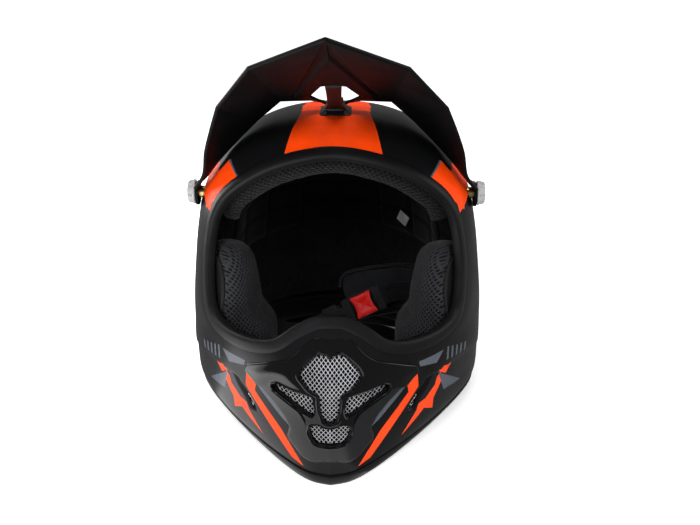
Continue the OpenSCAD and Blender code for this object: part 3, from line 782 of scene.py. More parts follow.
# The shapes along the right side, as y and z
SIDE_FLASH = [
    (-34, 205), (-6, 214), (40, 205), (92, 180), (124, 160), (98, 166), (66, 176), (30, 185),
    (-8, 186), (-36, 180),
]
SIDE_GREY = [(20, 181), (70, 170), (104, 158), (128, 146), (96, 150), (52, 162), (12, 172)]
SIDE_LOW = [
    (24, 66), (44, 60), (74, 62), (118, 80), (150, 106), (112, 92), (76, 80), (40, 77),
    (30, 80),
]
SIDE_LOW_GREY = [(30, 53), (46, 48), (84, 50), (120, 64), (84, 60), (46, 57), (32, 60)]


ROUND_MM = 150
meridian = travelled(station(S_TABLE)[:, [HEIGHT, HALF]])


def chart(s, a):
    """Flat coordinates, about in millimetres, for the skin's station places and angles."""
    return np.stack([np.asarray(a) * ROUND_MM, np.interp(s, S_TABLE, meridian)], -1)


def unchart(p):
    return np.interp(p[..., 1], meridian, S_TABLE), p[..., 0] / ROUND_MM


def front_outline(points, step=2.5):
    p = resampled(points, step)
    return chart(*from_front(p[:, 0], p[:, 1]))


def side_outline(points, side, step=4):
    p = resampled(points, step)
    s, a = from_side(p[:, 0], p[:, 1])
    return chart(s, a * side)


def slot_corners(slot):
    x, z, length, width, lean = slot
    c, s = math.cos(math.radians(lean)), math.sin(math.radians(lean))
    return [(x + u * length * c - v * width * s, z + u * length * s + v * width * c)
            for u, v in ((-0.5, -0.5), (0.5, -0.5), (0.5, 0.5), (-0.5, 0.5))]


def back_outline(points, step=2.5):
    p = resampled(points, step)
    return chart(*from_back(p[:, 0], p[:, 1]))


def stripe_outline():
    """The right edge of the stripe over the crown, from the brow to the nape, on the chart."""
    brow_half, bend_half, top_half, nape_half = 40, 33.5, 28, 19
    low, bend, nape = s_at(225), s_at(247), s_at(195)
    top = float(np.interp(-top_half, -station(S_TABLE)[:, HALF], S_TABLE))
    front_s = np.concatenate([np.linspace(low, bend, 8)[:-1], np.linspace(bend, top, 12)])
    back_s = np.linspace(top, nape, 30)[1:]
    front_half = np.interp(front_s, [low, bend, top], [brow_half, bend_half, top_half])
    back_half = np.interp(back_s, [nape, top], [nape_half, top_half])
    front, back = [np.arcsin(np.clip(half / station(s)[:, HALF], 0, 1))
                   for s, half in ((front_s, front_half), (back_s, back_half))]
    s = np.concatenate([front_s, back_s, [s_at(184)]])
    a = np.concatenate([front, math.pi - back, [math.pi]])
    return resampled(chart(s, a), 3, False)


def shell_lift(s, a):
    """How far the shell's skin stands out of the plain surface, in millimetres."""
    p = skin(s, a)
    x, y, z = p[..., 0], p[..., 1], p[..., 2]
    xz = p[..., [0, 2]]
    right = np.abs(xz)
    panel = np.where(inside(xz, PANEL_LOOP), 2.4 * ramp(edge_distance(xz, PANEL_LOOP), 0, 2.2), 0)
    scoop = np.where(inside(right, SCOOP), 3.0 * ramp(edge_distance(right, SCOOP), 0, 4.0), 0)
    crease_x, crease_z = np.array(CREASE[::-1]).T
    over = z - np.interp(right[..., 0], crease_x, crease_z)
    along = ramp(right[..., 0], 70, 86) * ramp(-y, -30, 20)
    cheek = 1.5 * ramp(over, -1.2, 1.2) * (1 - ramp(over, 4, 26)) * along
    brim = 0.8 * (1 - ramp(edge_distance(right, port_right), 10, 26))
    nose = 2.0 * np.exp(-(x / 17) ** 2) * np.exp(-((z - 116) / 10) ** 2)
    face = (np.cos(a) > 0) & (y < 20)
    return np.where(face, panel - scoop + cheek + brim + nose, 0) + side_curve(p)


def side_curve(p):
    """A soft ridge that runs along each side from the visor's screw to the nape."""
    y, z = p[..., 1], p[..., 2]
    line = 176 - 0.16 * (y - 10) - 0.0009 * (y - 10) ** 2
    over = z - line
    along = ramp(y, 18, 60)
    return 1.6 * along * ramp(over, -9, 0) * (1 - ramp(over, 4, 40))


SHELL_WALL = 3.5
# The places of the shell's coats among its materials; black is the first. The panel's coat is the
# same black made lighter, as painted light where the raised panel catches the light.
ORANGE_COAT, GREY_COAT, PANEL_LIT_COAT, INNER_COAT = 1, 2, 3, 4


def shell_outlines():
    """The shell's holes and its orange and grey flashes, on the chart."""
    holes = [front_outline(port_edge, 2.0), front_outline(rounded(whole(VENT_HOLE), 3), 2)]
    orange, grey = [], []
    for side, turn in ((1, list), (-1, flipped)):
        holes.append(front_outline(turn(rounded(SLOT, 2.2)), 1.6))
        holes.append(back_outline(turn(rounded(slot_corners(REAR_SLOT), 4)), 2))
        orange += [front_outline(turn(f)) for f in FLASHES + [TEMPLE_FRONT]]
        orange += [side_outline(f, side) for f in (SIDE_FLASH, SIDE_LOW)]
        grey += [front_outline(turn(f)) for f in GREYS + slits() + [TEMPLE_LINE]]
        grey += [side_outline(f, side) for f in (SIDE_GREY, SIDE_LOW_GREY)]
    return holes, orange, grey


def build_shell():
    """The shell as one sheet of triangles with its holes and flashes, then given a wall."""
    step = 3.0
    holes, orange, grey = shell_outlines()
    panel = front_outline(PANEL_LOOP, 2.2)
    wide = math.pi * ROUND_MM
    low, high = float(chart(s_at(2.0), 0)[1]), float(chart(LAST - 0.16, 0)[1])
    xs = np.linspace(-wide, wide, int(round(2 * wide / step)) + 1)
    zs = np.linspace(low, high, int(round((high - low) / step)) + 1)
    rim = [(x, low) for x in xs[:-1]] + [(wide, z) for z in zs[:-1]]
    rim += [(x, high) for x in xs[:0:-1]] + [(-wide, z) for z in zs[:0:-1]]
    stripe = stripe_outline()
    loops = [np.array(rim)] + holes + orange + grey
    lines = [stripe, stripe * (-1, 1)]
    fixed = np.concatenate(loops + lines)
    rows = []
    for relief in (panel, front_outline(SCOOP, 1.6), front_outline(flipped(SCOOP), 1.6)):
        rows += [near_points(relief, (0.5, 1.3, 2.2, 3.2)), relief]
    rows = thinned(np.concatenate(rows), fixed, 0.5)
    grid = np.array([(x, z) for z in zs[1:-1] for x in xs[1:-1]])
    grid = thinned(grid, np.concatenate([fixed, rows]), 1.3)
    flat, faces = triangulated(loops, lines, np.concatenate([rows, grid]), 1e-4)
    middle = flat[faces].mean(1)
    keep = ~np.any([inside(middle, o) for o in holes], axis=0)
    faces, middle = faces[keep], middle[keep]

    half = np.vstack([stripe, [(wide + 9, stripe[-1, 1]), (wide + 9, high + 9), (0, high + 9),
                               (0, stripe[0, 1])]])
    coat = np.zeros(len(faces), int)
    coat[inside(np.abs(middle), half)] = ORANGE_COAT
    for number, outlines in ((PANEL_LIT_COAT, [panel]), (ORANGE_COAT, orange), (GREY_COAT, grey)):
        for outline in outlines:
            coat[inside(middle, outline)] = number

    s, a = unchart(flat)
    lifted = skin(s, a) + skin_normal(s, a) * shell_lift(s, a)[:, None]
    # The sheet's upper edge closes on the crown's top in a fan
    edge = np.where(np.abs(flat[:, 1] - high) < 1e-3)[0]
    edge = edge[np.argsort(flat[edge, 0])]
    fan = [(p, q, len(flat)) for p, q in zip(edge[:-1], edge[1:])]
    points = np.vstack([lifted, [[0, STATIONS[-2][FRONT], CROWN_Z]]])
    mesh = bpy.data.meshes.new("shell_skin")
    mesh.from_pydata((points * MM).tolist(), [], faces.tolist() + fan)
    coats = np.concatenate([coat, np.full(len(fan), ORANGE_COAT)])
    mesh.polygons.foreach_set("material_index", coats.astype(np.int32))
    for material in (shell_black, shell_orange, shell_grey, shell_panel_lit, shell_inner):
        mesh.materials.append(material)
    bm = bmesh.new()
    bm.from_mesh(mesh)
    bmesh.ops.remove_doubles(bm, verts=bm.verts, dist=2e-5)
    bmesh.ops.recalc_face_normals(bm, faces=bm.faces)
    bm.to_mesh(mesh)
    bm.free()
    obj = placed("shell_skin", mesh)
    wall = obj.modifiers.new("wall", "SOLIDIFY")
    wall.thickness = SHELL_WALL * MM
    wall.offset = -1
    wall.material_offset = INNER_COAT
    wall.material_offset_rim = 0
    apply_modifiers(obj)
    for face in obj.data.polygons:
        face.material_index = min(face.material_index, INNER_COAT)
    smoothed(obj.data, 50)
    return obj


shell = build_shell()
stand_in(shell, "outer_shell", "root")


# ---- Rubber trims ----

def swept(name, middle, sides, outs, section, material):
    """A closed sweep of a section, given as distances to the side and out of the skin."""
    q = np.array(section)
    rings = (middle[:, None] + sides[:, None] * q[None, :, :1] + outs[:, None] * q[None, :, 1:])
    return loft(name, rings, material, True, 42)


EYE_TRIM = [
    (8.2, 0.2), (8.3, 0.8), (7.6, 1.5), (5.0, 2.1), (2.0, 2.5), (-0.3, 2.4), (-1.6, 1.7),
    (-2.3, 0.4), (-2.4, -2.2), (-2.3, -4.5), (-1.6, -5.5), (0.5, -5.8), (3.4, -5.6), (4.0, -5.0),
    (3.9, -4.3), (-0.4, -4.1), (-0.4, 0.2),
]
eye_line = smooth_loop(whole(PORT), 9)
eye_s, eye_a = from_front(eye_line[:, 0], eye_line[:, 1])
eye_out = skin_normal(eye_s, eye_a)
eye_skin = skin(eye_s, eye_a) + eye_out * shell_lift(eye_s, eye_a)[:, None]
eye_side = unit(np.cross(eye_out, np.roll(eye_skin, -1, 0) - np.roll(eye_skin, 1, 0)))
eye_trim = swept("eyeport_rubber", eye_skin, eye_side, eye_out, EYE_TRIM, trim_rubber)
stand_in(eye_trim, "eyeport_trim", "root")

# Inset from the skin and height of the rim rubber's section
RIM_TRIM = [
    (-1.6, 0.9), (-1.1, 0.25), (-0.4, 0), (4.3, 0), (5.1, 0.4), (5.4, 1.2), (5.4, 7.8),
    (5.0, 8.5), (4.3, 8.5), (3.9, 8.0), (3.9, 1.9), (-0.4, 1.9), (-0.4, 7.9), (-0.7, 8.6),
    (-1.3, 8.3), (-1.9, 7.3), (-2.4, 5.2), (-2.3, 2.8),
]


def rim_trim():
    half_step = 0.5
    a = turns(220)[:, None]
    inset, z = np.array(RIM_TRIM).T
    low, high = skin(0, a, inset), skin(half_step, a, inset)
    rings = low + (high - low) * (z / station(half_step)[HEIGHT])[None, :, None]
    rings[..., 2] = z
    return loft("rim_rubber_trim", rings, rim_rubber, True, 42)


rim = rim_trim()
stand_in(rim, "base_trim", "root")


# ---- Mouth vent ----

HOUSING = [
    (0, 114.8), (13, 113), (19, 108.9), (25, 102.4), (33, 96.6), (50, 90.2), (65, 82.9),
    (67, 76.2), (55, 68.8), (48, 70.6), (41, 70.3), (30, 66.3), (20.5, 61.3), (17.5, 56.7),
    (19, 46.9), (14.5, 36.9), (8, 33.4), (0, 33),
]
SHIELD = [
    (0, 99.5), (3, 102.5), (7.7, 103.3), (12.2, 101), (20.6, 92.8), (23.5, 86.9), (15.7, 79.5),
    (8, 76.5), (7.2, 65.6), (4.2, 56.6), (0, 55.5),
]
WEDGE = [
    (43.6, 75.5), (38.7, 78), (28.4, 76.1), (12.6, 74.5), (11, 65.1), (12.5, 60.2),
    (20.3, 63.8), (31.5, 68.8), (41.1, 72.4),
]
LOW_WINDOW = [
    (0, 51.1), (4.9, 52.1), (8, 54.2), (14, 53.3), (15.5, 47.2), (11.8, 38.6), (7, 36.5),
    (0, 36.2),
]
# How deep the meshes lie under the skin, their diamonds' width and height, and their wire
MESH_DEPTH, SLOT_MESH_DEPTH = 3.0, 2.4
PITCH_X, PITCH_Z = 3.5, 3.9
WIRE_HALF, WIRE_STEP, WIRE_WAVE = 0.24, 1.0, 0.16


def slab(name, top, under, faces, material, sharp=50):
    """A solid between two sheets with the same faces."""
    n = len(top)
    used = {(a, b) for f in faces for a, b in zip(f, np.roll(f, -1))}
    sides = [(b, a, a + n, b + n) for a, b in used if (b, a) not in used]
    all_faces = [tuple(f) for f in faces] + [tuple(i + n for i in reversed(f)) for f in faces]
    return new_object(name, np.vstack([top, under]), all_faces + sides, material, sharp)


def mouth_vent():
    """The glossy housing, rounded towards its edges, with a raised lip round each window."""
    outline = resampled(rounded(whole(HOUSING), 7, 5), 1.3)
    windows = [resampled(rounded(w, r), 0.9) for w, r in (
        (whole(SHIELD), 1.8), (whole(LOW_WINDOW), 1.8), (WEDGE, 1.3), (flipped(WEDGE), 1.3))]
    loops = [outline] + windows

    def solid(q):
        return inside(q, outline) & ~np.any([inside(q, w) for w in windows], axis=0)

    fixed = np.concatenate(loops)
    rows = [near_points(loop, (0.18, 0.45, 0.85, 1.3, 1.9, 2.8), solid) for loop in loops]
    rows = thinned(np.concatenate(rows), fixed, 0.16)
    grid = grid_points((-68, 68.1), (33, 116), 1.8)
    grid = thinned(grid[solid(grid)], np.concatenate([fixed, rows]), 1.0)
    flat, faces = filled(outline, windows, np.concatenate([rows, grid]))
    to_edge = edge_distance(flat, outline)
    to_window = np.min([edge_distance(flat, w) for w in windows], axis=0)
    drop = np.clip(np.maximum(1 - to_edge / 1.5, 1 - to_window / 0.8), 0, 1)
    height = 0.5 + 1.9 * np.sqrt(1 - drop ** 2)
    window_lip = 0.8 * np.exp(-((to_window - 0.75) / 0.42) ** 2)
    crown = 0.9 * ramp(np.minimum(to_edge, to_window), 1.8, 9)
    height += window_lip + crown
    hole = rounded(whole(VENT_HOLE), 3)
    in_hole = np.where(inside(flat, hole), edge_distance(flat, hole), 0)
    depth = 0.2 - (MESH_DEPTH + 0.1) * ramp(in_hole, 0.5, 1.6)
    top, under = [on_front(flat[:, 0], flat[:, 1], lift) for lift in (height, depth)]
    return slab("mouth_vent", top, under, faces, gloss_black, 42)


def wire_cloth(outline, depth):
    """Diamond mesh that follows the skin of the front, out to an outline."""
    o = np.asarray(outline, float)
    low, high = o.min(0), o.max(0)
    slope = PITCH_X / PITCH_Z
    reach = slope * (high[1] - low[1])
    first = math.floor((low[0] - reach) / PITCH_X)
    last = int((high[0] + reach) / PITCH_X)
    z = np.arange(low[1], high[1] + WIRE_STEP, WIRE_STEP)
    points, faces = [], []
    for lean in (1, -1):
        for k in range(first, last + 1):
            x = k * PITCH_X + lean * slope * (z - low[1])
            ok = inside(np.stack([x, z], -1), o)
            runs = np.split(np.arange(len(z)), np.where(np.diff(ok.astype(int)))[0] + 1)
            for run in runs:
                if len(run) < 2 or not ok[run[0]]:
                    continue
                wave = WIRE_WAVE * np.cos(2 * math.pi * (z[run] - low[1]) / PITCH_Z) * lean
                middle = on_front(x[run], z[run], -depth + wave)
                out = skin_normal(*from_front(x[run], z[run]))
                side = unit(np.cross(out, np.gradient(middle, axis=0))) * WIRE_HALF
                out = out * WIRE_HALF * 0.8
                base = len(points)
                points.extend(np.stack([middle + side, middle + out, middle - side,
                                        middle - out], 1).reshape(-1, 3))
                n = len(run)
                caps = [(0, 1, 2, 3), tuple((n - 1) * 4 + i for i in (3, 2, 1, 0))]
                faces.extend(tuple(base + i for i in f) for f in strip_faces(n, 4) + caps)
    return new_object("wire", points, faces, bright_mesh, 60)


def filter_pad(outline, near, far):
    """The black filter cloth behind a mesh, between two depths."""
    edge = resampled(rounded(outline, 3), 2.5)
    grid = grid_points((-90, 91), (20, 120), 3.0)
    flat, faces = filled(edge, (), thinned(grid[inside(grid, edge)], edge, 1.4))
    top, under = [on_front(flat[:, 0], flat[:, 1], np.full(len(flat), -d)) for d in (near, far)]
    return slab("filter", top, under, faces, lining, 60)


vent = mouth_vent()
stand_in(vent, "mouth_vent_housing", "root")
vent_wire = joined("mouth_mesh", [wire_cloth(rounded(whole(VENT_HOLE), 3), MESH_DEPTH),
                                  filter_pad(whole(VENT_HOLE), 3.55, 4.2)])
stand_in(vent_wire, "mouth_vent_mesh", "root")
for side_name, turn in (("right", list), ("left", flipped)):
    slot_wire = joined("chin_mesh_" + side_name, [
        wire_cloth(turn(rounded(SLOT, 1.2)), SLOT_MESH_DEPTH), filter_pad(turn(SLOT), 3.2, 4.2)])
    stand_in(slot_wire, "chin_vent_" + side_name, "root")


# ---- Visor ----

# The right half of the visor's skin, as rows from the front edge to the rear edge
VISOR_NET = np.array([
    [[0, -183.2, 339], [7, -177, 335.7], [28, -158.5, 325.8], [55, -134, 313], [86, -79, 275],
     [96, -54, 251], [103.5, -38, 230], [108, -28, 209], [118.8, -8, 192.5]],
    [[0, -48, 287.5], [7, -48, 287], [10, -47, 286.5], [50, -60, 288], [78, -42, 263.5],
     [91.5, -33, 242], [101, -25, 223], [109, -20, 206], [118.8, -3, 192.5]],
    [[0, -24, 276], [7, 0, 263.2], [21, -5, 270.5], [48, -2, 269], [69, -7, 252.5],
     [85.5, -12, 235], [99, -14.5, 219], [109.5, -12, 204], [118.8, 4, 192.5]],
    [[0, -12, 270], [7, 8, 263], [21, 10, 265], [47, 11, 264], [66, 4, 249],
     [83, -4, 233], [98, -10, 217.5], [110, -6, 202], [118.8, 12.5, 192.5]],
])
# The column of the net at which its straight panels end
CORNER = 4
VISOR_T = 2.2
# The visor's hinge, as y and z, and round it the radii of the foot's top and the tongue's top
PIVOT = np.array([3.0, 186.0])
MOUNT_R, TONGUE_R = 74.6, 77.0
EAR_X, EAR_R = 116.6, 11.5
RIB_OUTER = [(0, -183), (36, -7), (37, 40)]
RIB_INNER = [(0, -137), (19, -69), (34, 0), (35, 40)]


def visor_column(row, u):
    """Points along one row of the net: straight panels up to the corner, then a curve."""
    flat_part = np.minimum(u, CORNER)
    i = np.minimum(flat_part.astype(int), CORNER - 1)
    t = (flat_part - i)[:, None]
    straight = row[i] * (1 - t) + row[i + 1] * t
    leg = row[CORNER:]
    leg = np.vstack([2 * leg[0] - leg[1], leg, 2 * leg[-1] - leg[-2]])
    w = np.maximum(u - CORNER, 0)
    k = np.minimum(w.astype(int), len(leg) - 4)
    curved = spline([leg[k + n] for n in range(4)], (w - k)[:, None])
    return np.where((u <= CORNER)[:, None], straight, curved)


def rib_height(p):
    """The two raised bands that run back from the visor's tip."""
    x, y = np.abs(p[..., 0]), p[..., 1]
    outer, inner = [np.interp(y, *np.array(rib)[:, ::-1].T) for rib in (RIB_OUTER, RIB_INNER)]
    band = ramp(outer - x, -1.0, 1.4) * ramp(x - inner, -1.0, 1.4)
    return 2.4 * band * ramp(y, -182, -160) * (1 - ramp(y, -6, 6))


def graded(*counts_and_ends):
    """Steps from 0 through some ends, each stretch cut into its own count of points."""
    places, start = [np.zeros(1)], 0
    for count, end in counts_and_ends:
        places.append(np.linspace(start, end, count)[1:])
        start = end
    return np.concatenate(places)


def visor_plate():
    """The visor's skin with its windows left out, and the middles of its two long edges."""
    u = graded((8, 1), (16, 2), (30, 3), (34, 4), (44, 8))
    v = graded((64, 1), (30, 2), (10, 3))
    rows = np.array([visor_column(r, u) for r in VISOR_NET])
    i = np.minimum(v.astype(int), 2)
    t = (v - i)[:, None, None]
    half = rows[i] * (1 - t) + rows[i + 1] * t
    net = np.concatenate([half[:, :0:-1] * (-1, 1, 1), half], 1)
    m, n = net.shape[:2]
    normal = unit(np.cross(np.gradient(net, axis=1), np.gradient(net, axis=0)))
    normal *= np.where(normal[:, n // 2:n // 2 + 1, 2:] < 0, -1, 1)
    net[..., 2] += rib_height(net)
    column = np.concatenate([u[:0:-1], u])
    faces = []
    for face in grid_faces(m, n):
        r, c = divmod(face[0], n)
        place = (column[c] + column[c + 1]) / 2
        row = (v[r] + v[r + 1]) / 2
        if not ((row > 1 and place < 1) or (1 < row < 2 and place < 2)):
            faces.append(face)
    top = net.reshape(-1, 3)
    under = top - VISOR_T * normal.reshape(-1, 3)
    plate = slab("visor_plate", top, under, faces, visor_skin, 32)
    middle = net - VISOR_T / 2 * normal
    return plate, middle[0], middle[-1], normal[0], normal[-1]


def pipe(name, path, up, radius, material, n=10):
    """A round bar along a path; up is any direction across it at each point."""
    side = unit(np.cross(np.gradient(path, axis=0), up))
    over = unit(np.cross(side, np.gradient(path, axis=0)))
    turn = turns(n)[None, :, None]
    rings = (path[:, None] + radius * np.cos(turn) * side[:, None]
             + radius * np.sin(turn) * over[:, None])
    return loft(name, rings, material, False, 50)


def ear(side):
    """The flat end of the visor's arm, round below its screw."""
    turn = np.radians(np.arange(-35, 216, 8))
    ring = PIVOT + EAR_R * np.stack([np.cos(turn), -np.sin(turn)], -1)
    outline = np.vstack([ring, [(-8.5, 193.5), (12.8, 193.5)]])
    flat, faces = filled(outline)
    low, high = sorted((side * (EAR_X - 0.1), side * (EAR_X + VISOR_T + 0.1)))
    top, under = [np.column_stack([np.full(len(flat), x), flat]) for x in (high, low)]
    return bevelled(slab("ear", top, under, faces, visor_skin), 0.6, 40)


def arc_point(x, y, r):
    """A point of the drum round the pivot on which the tongue slides."""
    lean = np.arcsin((y - PIVOT[0]) / r)
    return np.stack([x, PIVOT[0] + r * np.sin(lean), PIVOT[1] + r * np.cos(lean)], -1)


def box_corners(x0, x1, y0, y1):
    return [(x0, y0), (x1, y0), (x1, y1), (x0, y1)]


def tongue():
    """The visor's slotted tongue, which slides under the centre screw."""
    outline = resampled(rounded(box_corners(-8, 8, -13, 23.5), 3), 1.6)
    slot = resampled(rounded(box_corners(-2.7, 2.7, -7.6, 19.2), 2.6), 1.6)
    flat, faces = filled(outline, [slot])
    top, under = [arc_point(flat[:, 0], flat[:, 1], r) for r in (TONGUE_R, TONGUE_R - VISOR_T)]
    return slab("tongue", top, under, faces, black_plastic, 40)


def stalk():
    """The strut from the middle of the visor down to the tongue, waisted halfway."""
    turn = turns(20)
    across, upright = signed_power(np.cos(turn), 0.5), signed_power(np.sin(turn), 0.6)
    rings = []
    for t in np.linspace(0, 1, 14):
        half = 6.6 - 0.7 * math.sin(math.pi * t) + 2.2 * ramp(t, 0.75, 1)
        thick = 2.4 + 1.6 * math.sin(math.pi * t)
        rings.append(np.stack([half * across, np.full(20, -50 + 38.5 * t),
                               286.5 - 24.7 * t + thick / 2 * (upright - 1)], -1))
    return loft("stalk", rings, black_plastic, False, 50)


def mount_base():
    """The foot between the crown and the tongue: wide and thin below, drawn in above."""
    outline = rounded(box_corners(-13, 13, -10, 26), 5, 6)
    middle, sunk = np.array([0.0, 8.0]), 0.6
    s, a = np.meshgrid(np.linspace(s_at(232), LAST - 0.02, 70), np.linspace(-3.14, 3.14, 240))
    crown = skin(s, a).reshape(-1, 3)
    tree = tree_of(crown[:, :2])
    rings = []
    # Share of the height, and share of the width left there
    for t, narrow in ((0, 1.0), (0.22, 1.0), (0.34, 0.93), (0.5, 0.78), (0.75, 0.68),
                      (0.95, 0.65), (1, 0.61)):
        ring = middle + (outline - middle) * (narrow, 1 - (1 - narrow) * 0.45)
        low = np.array([crown[tree.find((x, y, 0))[1]][2] for x, y in ring]) - sunk
        high = PIVOT[1] + np.sqrt(MOUNT_R ** 2 - (ring[:, 1] - PIVOT[0]) ** 2)
        rings.append(np.column_stack([ring, low + (high - low) * t]))
    return loft("mount_base", rings, matt_plastic, False, 40)


def visor_paint():
    """Satin black, with orange flashes on top, and below them dark red painted into the
    underside's colour as painted light shining through.
    """
    p = Paint("visor_skin", (0.004, 0.004, 0.0045), 0.3, Specular_IOR_Level=0.1)
    x, y, _ = p.split(p.place)
    x = p.times(p.math("ABSOLUTE", x), 1000.0)
    y = p.times(y, 1000.0)
    facing = p.split(p.add("ShaderNodeTexCoord").outputs["Normal"])[2]
    top = p.spread(facing, -0.05, 0.05)
    under = p.minus(1.0, top)
    # A flash lies outside the outer rib and inside a line that runs nearly straight back
    tip_y, rib_slope = 183.0, 0.2045
    past_rib = p.minus(x, p.times(p.plus(y, tip_y), rib_slope))
    within = p.minus(p.plus(p.times(y, -0.08), 40.0), x)
    flash = p.times(p.spread(within, -0.4, 0.4), p.spread(past_rib, -0.4, 0.4),
                    p.spread(y, -128.0, -127.2), p.spread(y, -24.0, -24.8))
    # Painted light: where light would shine through a flash, the underside is painted dark red;
    # this reaches further and is softer than the flash
    cloud = p.noise(30.0, 3.0, 0.6)
    through = p.times(p.spread(within, -3.5, 3.5), p.spread(y, -158.0, -118.0),
                      p.spread(y, -22.0, -52.0), p.spread(cloud, 0.25, 0.75, 0.55, 1.0),
                      p.spread(past_rib, -14.0, 2.0, 0.35, 1.0), under)
    black = p.mix(p.spread(cloud, 0.3, 0.7), (0.0014, 0.0014, 0.0017), (0.0024, 0.0024, 0.0028))
    # The underside's black with the painted dark red light mixed in
    shade = p.mix(through, black, (0.006, 0.0003, 0.0003))
    p.color(p.mix(p.times(flash, top), shade, ORANGE))
    p.roughness(p.plus(p.spread(cloud, 0.3, 0.7, 0.27, 0.34), p.times(under, 0.3)))
    p.bump(p.noise(1300.0, 2.0, 0.6), 0.02)
    return p.mat


visor_skin = visor_paint()


def build_visor():
    plate, front, rear, front_up, rear_up = visor_plate()
    parts = [plate, pipe("front_lip", front, front_up, 1.6, visor_skin, 12)]
    # The rear lip stops short of the middle, where the skin is cut away
    n, gap = len(rear) // 2, 9
    for stretch in (slice(n + gap, None), slice(None, n - gap + 1)):
        parts.append(pipe("rear_lip", rear[stretch], rear_up[stretch], 1.35, visor_skin))
    return joined("visor", parts + [ear(1), ear(-1), tongue(), stalk()])


visor = build_visor()
stand_in(visor, "visor_peak", "visor")

# A side screw and its grip: place along X, radius, and share of the flutes' depth there
FLUTES, FLUTE_DEPTH = 8, 0.13
KNOB = [
    (104, 2.9, 0), (104.3, 3, 0), (119.1, 3, 0), (119.1, 9.6, 0), (119.4, 10.1, 0),
    (120.2, 10.5, 0), (120.9, 10.4, 0), (121.3, 10.1, 1), (122.6, 9.9, 1), (124.6, 9.5, 1),
    (125.5, 9.1, 1), (125.9, 8.5, 0.8), (126, 7.6, 0.35), (125.8, 6.6, 0), (125.3, 6, 0),
    (125.2, 3, 0), (125.2, 0.3, 0),
]
base = mount_base()
stand_in(base, "visor_mount_base", "root")
for side, knob_name in ((1, "knob_right"), (-1, "knob_left")):
    turn = turns(96)
    flute = np.maximum(0, np.cos(FLUTES * turn)) ** 1.5
    rings = []
    for x, r, cut in KNOB:
        radius = r * (1 - FLUTE_DEPTH * cut * flute)
        rings.append(np.stack([np.full(len(turn), x * side), PIVOT[0] + radius * np.cos(turn),
                               PIVOT[1] + radius * np.sin(turn)], -1))
    knob = loft("side_screw_" + knob_name, rings, knob_plastic, False, 40)
    stand_in(knob, "visor_" + knob_name, knob_name)


# ---- Padding ----

def mesh_points(obj):
    flat = np.empty(len(obj.data.vertices) * 3)
    obj.data.vertices.foreach_get("co", flat)
    return flat.reshape(-1, 3) / MM


def set_points(obj, points):
    obj.data.vertices.foreach_set("co", (points * MM).ravel())
    obj.data.update()


def weave(obj, place):
    """Stores how far along and across the cloth each point lies, in millimetres."""
    values = np.zeros((len(obj.data.vertices), 3), np.float32)
    values[:, :2] = np.stack(place(mesh_points(obj)), -1)
    layer = obj.data.attributes.new("weave", "FLOAT_VECTOR", "POINT")
    layer.data.foreach_set("vector", values.ravel())


CLOTH = dict(quality=4, mass=0.2, tension_stiffness=12, compression_stiffness=12,
             bending_stiffness=0.4, use_pressure=True)
CLOTH_FRAMES = 20


def stuffed(obj, voxel=4.5, pressure=4.0, shrink=2.0, cap=5.0):
    """Swells a closed form like stuffed cloth: it starts smaller by shrink and is blown up,
    and no point moves further than cap."""
    mod = obj.modifiers.new("cloth_skin", "REMESH")
    mod.mode = "VOXEL"
    mod.voxel_size = voxel * MM
    apply_modifiers(obj)
    start = mesh_points(obj)
    normals = np.array([v.normal[:] for v in obj.data.vertices])
    small = start - normals * shrink
    set_points(obj, small)
    cloth = obj.modifiers.new("cloth", "CLOTH").settings
    for setting, value in CLOTH.items():
        setattr(cloth, setting, value)
    cloth.uniform_pressure_force = pressure
    cloth.effector_weights.gravity = 0
    scene = bpy.context.scene
    for k in range(1, CLOTH_FRAMES + 1):
        scene.frame_set(k)
    result = obj.evaluated_get(bpy.context.evaluated_depsgraph_get())
    found = result.to_mesh()
    moved = np.empty(len(found.vertices) * 3)
    found.vertices.foreach_get("co", moved)
    result.to_mesh_clear()
    obj.modifiers.clear()
    step = moved.reshape(-1, 3) / MM - small
    length = np.linalg.norm(step, axis=1, keepdims=True)
    set_points(obj, small + step * np.minimum(1, cap / np.maximum(length, 1e-6)))
    scene.frame_set(1)
    relax = obj.modifiers.new("relax", "SMOOTH")
    relax.factor = 0.5
    relax.iterations = 3
    fine = obj.modifiers.new("fine", "SUBSURF")
    fine.levels = 1
    fine.render_levels = 1
    apply_modifiers(obj)
    obj.data.shade_smooth()
    return obj


# The cheek pad's middle and half size as y and z, and how square its outline is
CHEEK_MID, CHEEK_HALF, CHEEK_SQUARE = (-32, 85), (40, 70), 2.6
CHEEK_INSET = 9.5
# Its inner face lies at one x below a height, and at another above a second height
JAW_X, EYE_X, JAW_Z, EYE_Z = 50, 66, 74, 102
# Share of the outline's size, and share of the way in from the shell
CHEEK_RINGS = [
    (0.02, 1.0), (0.22, 1.0), (0.42, 1.0), (0.6, 1.0), (0.74, 0.98), (0.85, 0.93), (0.93, 0.82),
    (0.98, 0.64), (1.0, 0.42), (1.0, 0.2), (0.985, 0.05), (0.94, 0.0), (0.7, 0.0), (0.4, 0.0),
    (0.02, 0.0),
]


def cheek_pad():
    turn = np.radians(np.arange(0, 360, 5))
    rings = []
    for r, depth in CHEEK_RINGS:
        y = CHEEK_MID[0] + CHEEK_HALF[0] * r * signed_power(np.cos(turn), 2 / CHEEK_SQUARE)
        z = CHEEK_MID[1] + CHEEK_HALF[1] * r * signed_power(np.sin(turn), 2 / CHEEK_SQUARE)
        outer = side_x(y, z, CHEEK_INSET)
        inner = JAW_X + (EYE_X - JAW_X) * ramp(z, JAW_Z, EYE_Z)
        rings.append(np.stack([outer - depth * (outer - inner), y, z], -1))
    return loft("cheek_cushion_right", rings, pad_mesh, False, 180)


